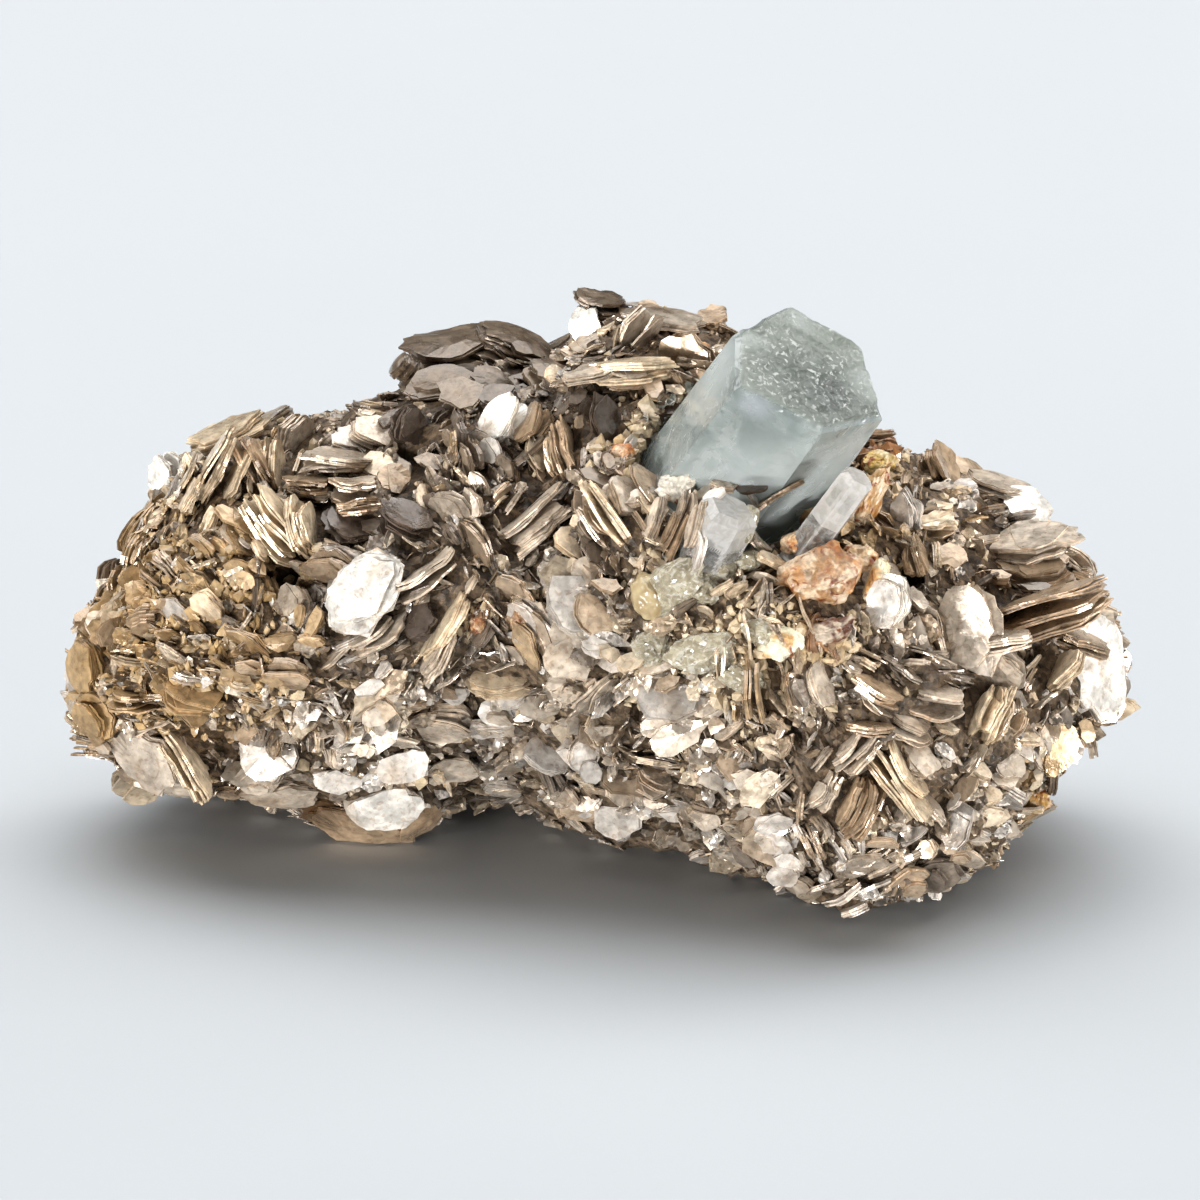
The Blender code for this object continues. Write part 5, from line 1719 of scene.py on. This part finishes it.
class SPECIMEN_OT_aquamarine(bpy.types.Operator):
    """Builds the aquamarine: flat prism faces, chipped edges with a painted highlight along them, and an
    etched end.
    """

    bl_idname = "specimen.aquamarine"
    bl_label = "Aquamarine"

    def execute(self, context):
        points, triangles, grid = fine_prism(*LARGE_PRISM, sides=AQUAMARINE_SIDES, steps=(64, 6), caps=34)
        marks, fall, _ = prism_marks(AQUAMARINE, points, triangles, grid, AQUAMARINE_SIDES)
        marks[:, 1] = np.clip(1.15 - fall / 0.6, 0.0, 1.0)
        tip, axis, _, _ = crystal_frame(AQUAMARINE)
        drop = (tip - points) @ axis
        spot = [Vector(point) for point in points]
        spacing, start = CHIPS
        chips = np.array([max(noise.noise(at / spacing) - start, 0.0) for at in spot])
        pits = np.array([sum(noise.noise(at / wide) * deep for wide, deep in PITS) for at in spot])
        etched = np.clip(1.6 - drop, 0.0, 1.0)
        away = points - (tip - np.clip(drop, 0.0, None)[:, None] * axis)
        points = points - axis * (etched * np.abs(pits) + chips * np.clip(1.0 - drop / 2.0, 0, 1))[:, None]
        points = points - away * (0.06 * chips * np.clip(1.5 - drop / 3.0, 0, 1))[:, None]
        piece = mesh_piece("aquamarine_crystal", points, triangles, beryl_finish(), marks)
        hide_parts("aquamarine")
        return {"FINISHED"}


class SPECIMEN_OT_clear_crystals(bpy.types.Operator):
    """Builds the two clear crystals in front of the aquamarine."""

    bl_idname = "specimen.clear_crystals"
    bl_label = "Clear crystals"

    def execute(self, context):
        finish = quartz_finish()
        points, triangles, grid = fine_prism(*RIGHT_PRISM, sides=PRISM_SIDES, steps=(24, 2), caps=5)
        marks, drop, aside = prism_marks(RIGHT_CRYSTAL, points, triangles, grid, PRISM_SIDES)
        marks[:, 1] = np.where((aside > 0.25) & (aside < 0.75) & (drop > 1.6) & (drop < 4.4), 0.35, 0.0)
        marks[:, 1] = np.where((drop > 6.5) & (drop < 12.0), 0.9, marks[:, 1])
        piece = mesh_piece("clear_prism_right", points, triangles, finish, marks)
        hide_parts("clear_crystal_right")
        points, triangles, grid = fine_prism(*FRONT_PRISM, sides=PRISM_SIDES, steps=(20, 2), caps=5)
        marks, drop, aside = prism_marks(FRONT_CRYSTAL, points, triangles, grid, PRISM_SIDES)
        marks[:, 1] = np.where((aside > 0.12) & (aside < 0.88) & (drop > 4.2) & (drop < 8.2), 0.9, 0.0)
        piece = mesh_piece("clear_prism_front", points, triangles, finish, marks)
        masses = [rounded_mass(FRONT_LUMP, 0.06, breaks=10)]
        masses += [rounded_mass(mass, 0.06, breaks=12) for mass in MILKY_MASSES]
        masses += [rounded_mass(on_rock(mass), 0.12, breaks=16) for mass in SUGARY_MASSES]
        points, triangles, _ = joined(masses)
        milky = mesh_piece("milky_quartz", points, triangles, milky_finish())
        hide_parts("clear_crystal_front")
        return {"FINISHED"}


def on_rock(mass):
    """A mass given from the rock face, with its place out worked out."""
    across, up, out, *rest = mass
    return (across, up, face_depth(across, up) + out, *rest)


def joined(meshes):
    """Several meshes as one: points, triangles and which mesh each triangle comes from."""
    starts = np.cumsum([0] + [len(points) for points, _ in meshes])
    points = np.concatenate([points for points, _ in meshes])
    triangles = np.concatenate([faces + start for (_, faces), start in zip(meshes, starts)])
    return points, triangles, np.repeat(np.arange(len(meshes)), [len(faces) for _, faces in meshes])


def rounded_mass(shape, fine_dents, subdivisions=4, breaks=0):
    """A rounded, dented mass in fine facets, with this many flat breaks."""
    across, up, out, radii, turn, dents = shape
    bm = round_form(subdivisions)
    draw = random.Random(round(1000 * across + up))
    flats = []
    for _ in range(breaks):
        face = Vector([draw.gauss(0, 1) for _ in range(3)]).normalized()
        flats.append((face, draw.uniform(*BREAK_REACH)))
    angle = math.radians(turn)
    wide, tall = math.cos(angle) * ACROSS + math.sin(angle) * UP, edge_line(turn)
    for vert in bm.verts:
        swell = 1.0 + dents * noise.noise(vert.co * DENT_SCALE + Vector((across, up, out)))
        swell = min([swell] + [reach / max(vert.co.dot(face), BREAK_LEAST) for face, reach in flats])
        swell += fine_dents * noise.noise(vert.co * FINE_DENT_SCALE)
        x, y, z = (size * swell * part for size, part in zip(radii, vert.co))
        vert.co = show(across, up, out) + x * wide + y * tall + z * EYE
    return mesh_arrays(bm)


class SPECIMEN_OT_bead_and_knob(bpy.types.Operator):
    """Builds the cream albite bead and the stained feldspar knob."""

    bl_idname = "specimen.bead_and_knob"
    bl_label = "Bead and knob"

    def execute(self, context):
        points, triangles = rounded_mass(BEAD, 0.015, subdivisions=5)
        piece = mesh_piece("cream_bead", points, triangles, waxy_finish(), smooth=True)
        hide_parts("albite_bead")
        masses = [rounded_mass(KNOB, 0.05, subdivisions=5, breaks=12)]
        masses += [rounded_mass(on_rock(mass[:6]), 0.10, breaks=12) for mass in STAINED_MASSES]
        points, triangles, owner = joined(masses)
        knob = tuple(context.scene.specimen_colours.feldspar)
        shades = np.array([knob] + [linear(mass[6]) for mass in STAINED_MASSES])
        piece = mesh_piece("stained_knob", points, triangles, stained_finish(), shades[owner])
        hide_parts("feldspar_knob")
        return {"FINISHED"}


# Stage, in metres

FLOOR_REACH = 4.0  # from the middle of the floor to its sides
LAMPS = (
    # name, place, width, height, watts
    ("top softbox", (0.02, 0.30, 1.30), 1.90, 1.50, 36.0),
    ("left wing", (-1.10, 0.75, 0.85), 0.60, 0.60, 4.5),
    ("right wing", (1.10, 0.70, 0.85), 0.60, 0.60, 5.0),
    ("left front", (-0.90, -0.80, 0.035), 0.45, 0.07, 19.0),
    ("right front", (1.00, -0.60, 0.035), 0.40, 0.07, 15.5),
    ("front fill", (-0.10, -1.20, 0.035), 0.40, 0.07, 5.0),
)
SKY = (0.92, 0.96, 1.0, 1.0)
SKY_HEIGHTS = (0.2, 1.0)  # from the first height of the sky to the second
SKY_STRENGTHS = (0.04, 0.3)  # it brightens from the first of these to the second
VIEW_DISTANCE = 1.2
VIEW_WIDTH = 0.1338  # width of what the camera sees at the specimen
SENSOR = 36.0  # in mm


class SPECIMEN_OT_stage(bpy.types.Operator):
    """Sets the pale floor, the soft lights and the camera."""

    bl_idname = "specimen.stage"
    bl_label = "Stage"

    def execute(self, context):
        scene = context.scene
        scene.view_settings.view_transform = "Standard"
        finish, tree, shader = new_finish("Paper sweep, matt", {"Roughness": 0.9, "Specular IOR Level": 0.1})
        cloud = blotches(tree, (90.0,), 0.3, 0.7, 0.0, 0.15)
        link(tree, shader, {"Base Color": mixed(tree, cloud, scene.specimen_colours.floor, linear("babdc0"))})
        mesh = bpy.data.meshes.new("floor")
        corners = [(x * FLOOR_REACH, y * FLOOR_REACH, 0) for x, y in ((-1, -1), (1, -1), (1, 1), (-1, 1))]
        mesh.from_pydata(corners, [], [(0, 1, 2, 3)])
        mesh.materials.append(finish)
        floor = bpy.data.objects.new("floor", mesh)
        scene.collection.objects.link(floor)

        world = bpy.data.worlds.new("Pale studio")
        world.use_nodes = True
        tree = world.node_tree
        sky = tree.nodes["Background"]
        sky.inputs["Color"].default_value = SKY
        place = add_node(tree, "ShaderNodeTexCoord").outputs["Generated"]
        height = add_node(tree, "ShaderNodeSeparateXYZ", None, {"Vector": place}).outputs["Z"]
        link(tree, sky, {"Strength": ramp(tree, height, *SKY_HEIGHTS, *SKY_STRENGTHS)})
        scene.world = world

        aim = Vector((np.array(show(0, 0, 0)) + solid_shift()) * MM)
        for name, place, width, height, watts in LAMPS:
            light = bpy.data.lights.new(name, "AREA")
            light.shape = "RECTANGLE"
            light.size, light.size_y = width, height
            light.energy = watts
            lamp = bpy.data.objects.new(name, light)
            lamp.location = place
            lamp.rotation_euler = (aim - Vector(place)).to_track_quat("-Z", "Y").to_euler()
            scene.collection.objects.link(lamp)

        view = bpy.data.cameras.new("camera")
        view.sensor_width = SENSOR
        view.lens = view.sensor_width * VIEW_DISTANCE / VIEW_WIDTH
        camera = bpy.data.objects.new("camera", view)
        camera.location = aim + EYE * VIEW_DISTANCE
        camera.rotation_euler = EYE.to_track_quat("Z", "Y").to_euler()
        scene.collection.objects.link(camera)
        scene.camera = camera
        return {"FINISHED"}


OPERATORS = (
    SPECIMEN_OT_rock,
    SPECIMEN_OT_books,
    SPECIMEN_OT_small_books,
    SPECIMEN_OT_shards,
    SPECIMEN_OT_flakes,
    SPECIMEN_OT_grains,
    SPECIMEN_OT_aquamarine,
    SPECIMEN_OT_clear_crystals,
    SPECIMEN_OT_bead_and_knob,
    SPECIMEN_OT_stage,
)


class SPECIMEN_PT_panel(bpy.types.Panel):
    """Lists the specimen's pieces, sizes and colours."""

    bl_idname = "SPECIMEN_PT_panel"
    bl_label = "Aquamarine on mica"
    bl_space_type = "VIEW_3D"
    bl_region_type = "UI"
    bl_category = "Specimen"

    def draw(self, context):
        for operator in OPERATORS:
            self.layout.operator(operator.bl_idname)
        for group in (context.scene.specimen_sizes, context.scene.specimen_colours):
            box = self.layout.box()
            for name in group.__annotations__:
                box.prop(group, name)


CLASSES = (SpecimenSizes, SpecimenColours, *OPERATORS, SPECIMEN_PT_panel)


def register():
    for item in CLASSES:
        bpy.utils.register_class(item)
    bpy.types.Scene.specimen_sizes = PointerProperty(type=SpecimenSizes)
    bpy.types.Scene.specimen_colours = PointerProperty(type=SpecimenColours)


def unregister():
    del bpy.types.Scene.specimen_colours
    del bpy.types.Scene.specimen_sizes
    for item in reversed(CLASSES):
        bpy.utils.unregister_class(item)


def main():
    register()
    for operator in OPERATORS:
        group, name = operator.bl_idname.split(".")
        getattr(getattr(bpy.ops, group), name)()


if __name__ == "__main__":
    main()
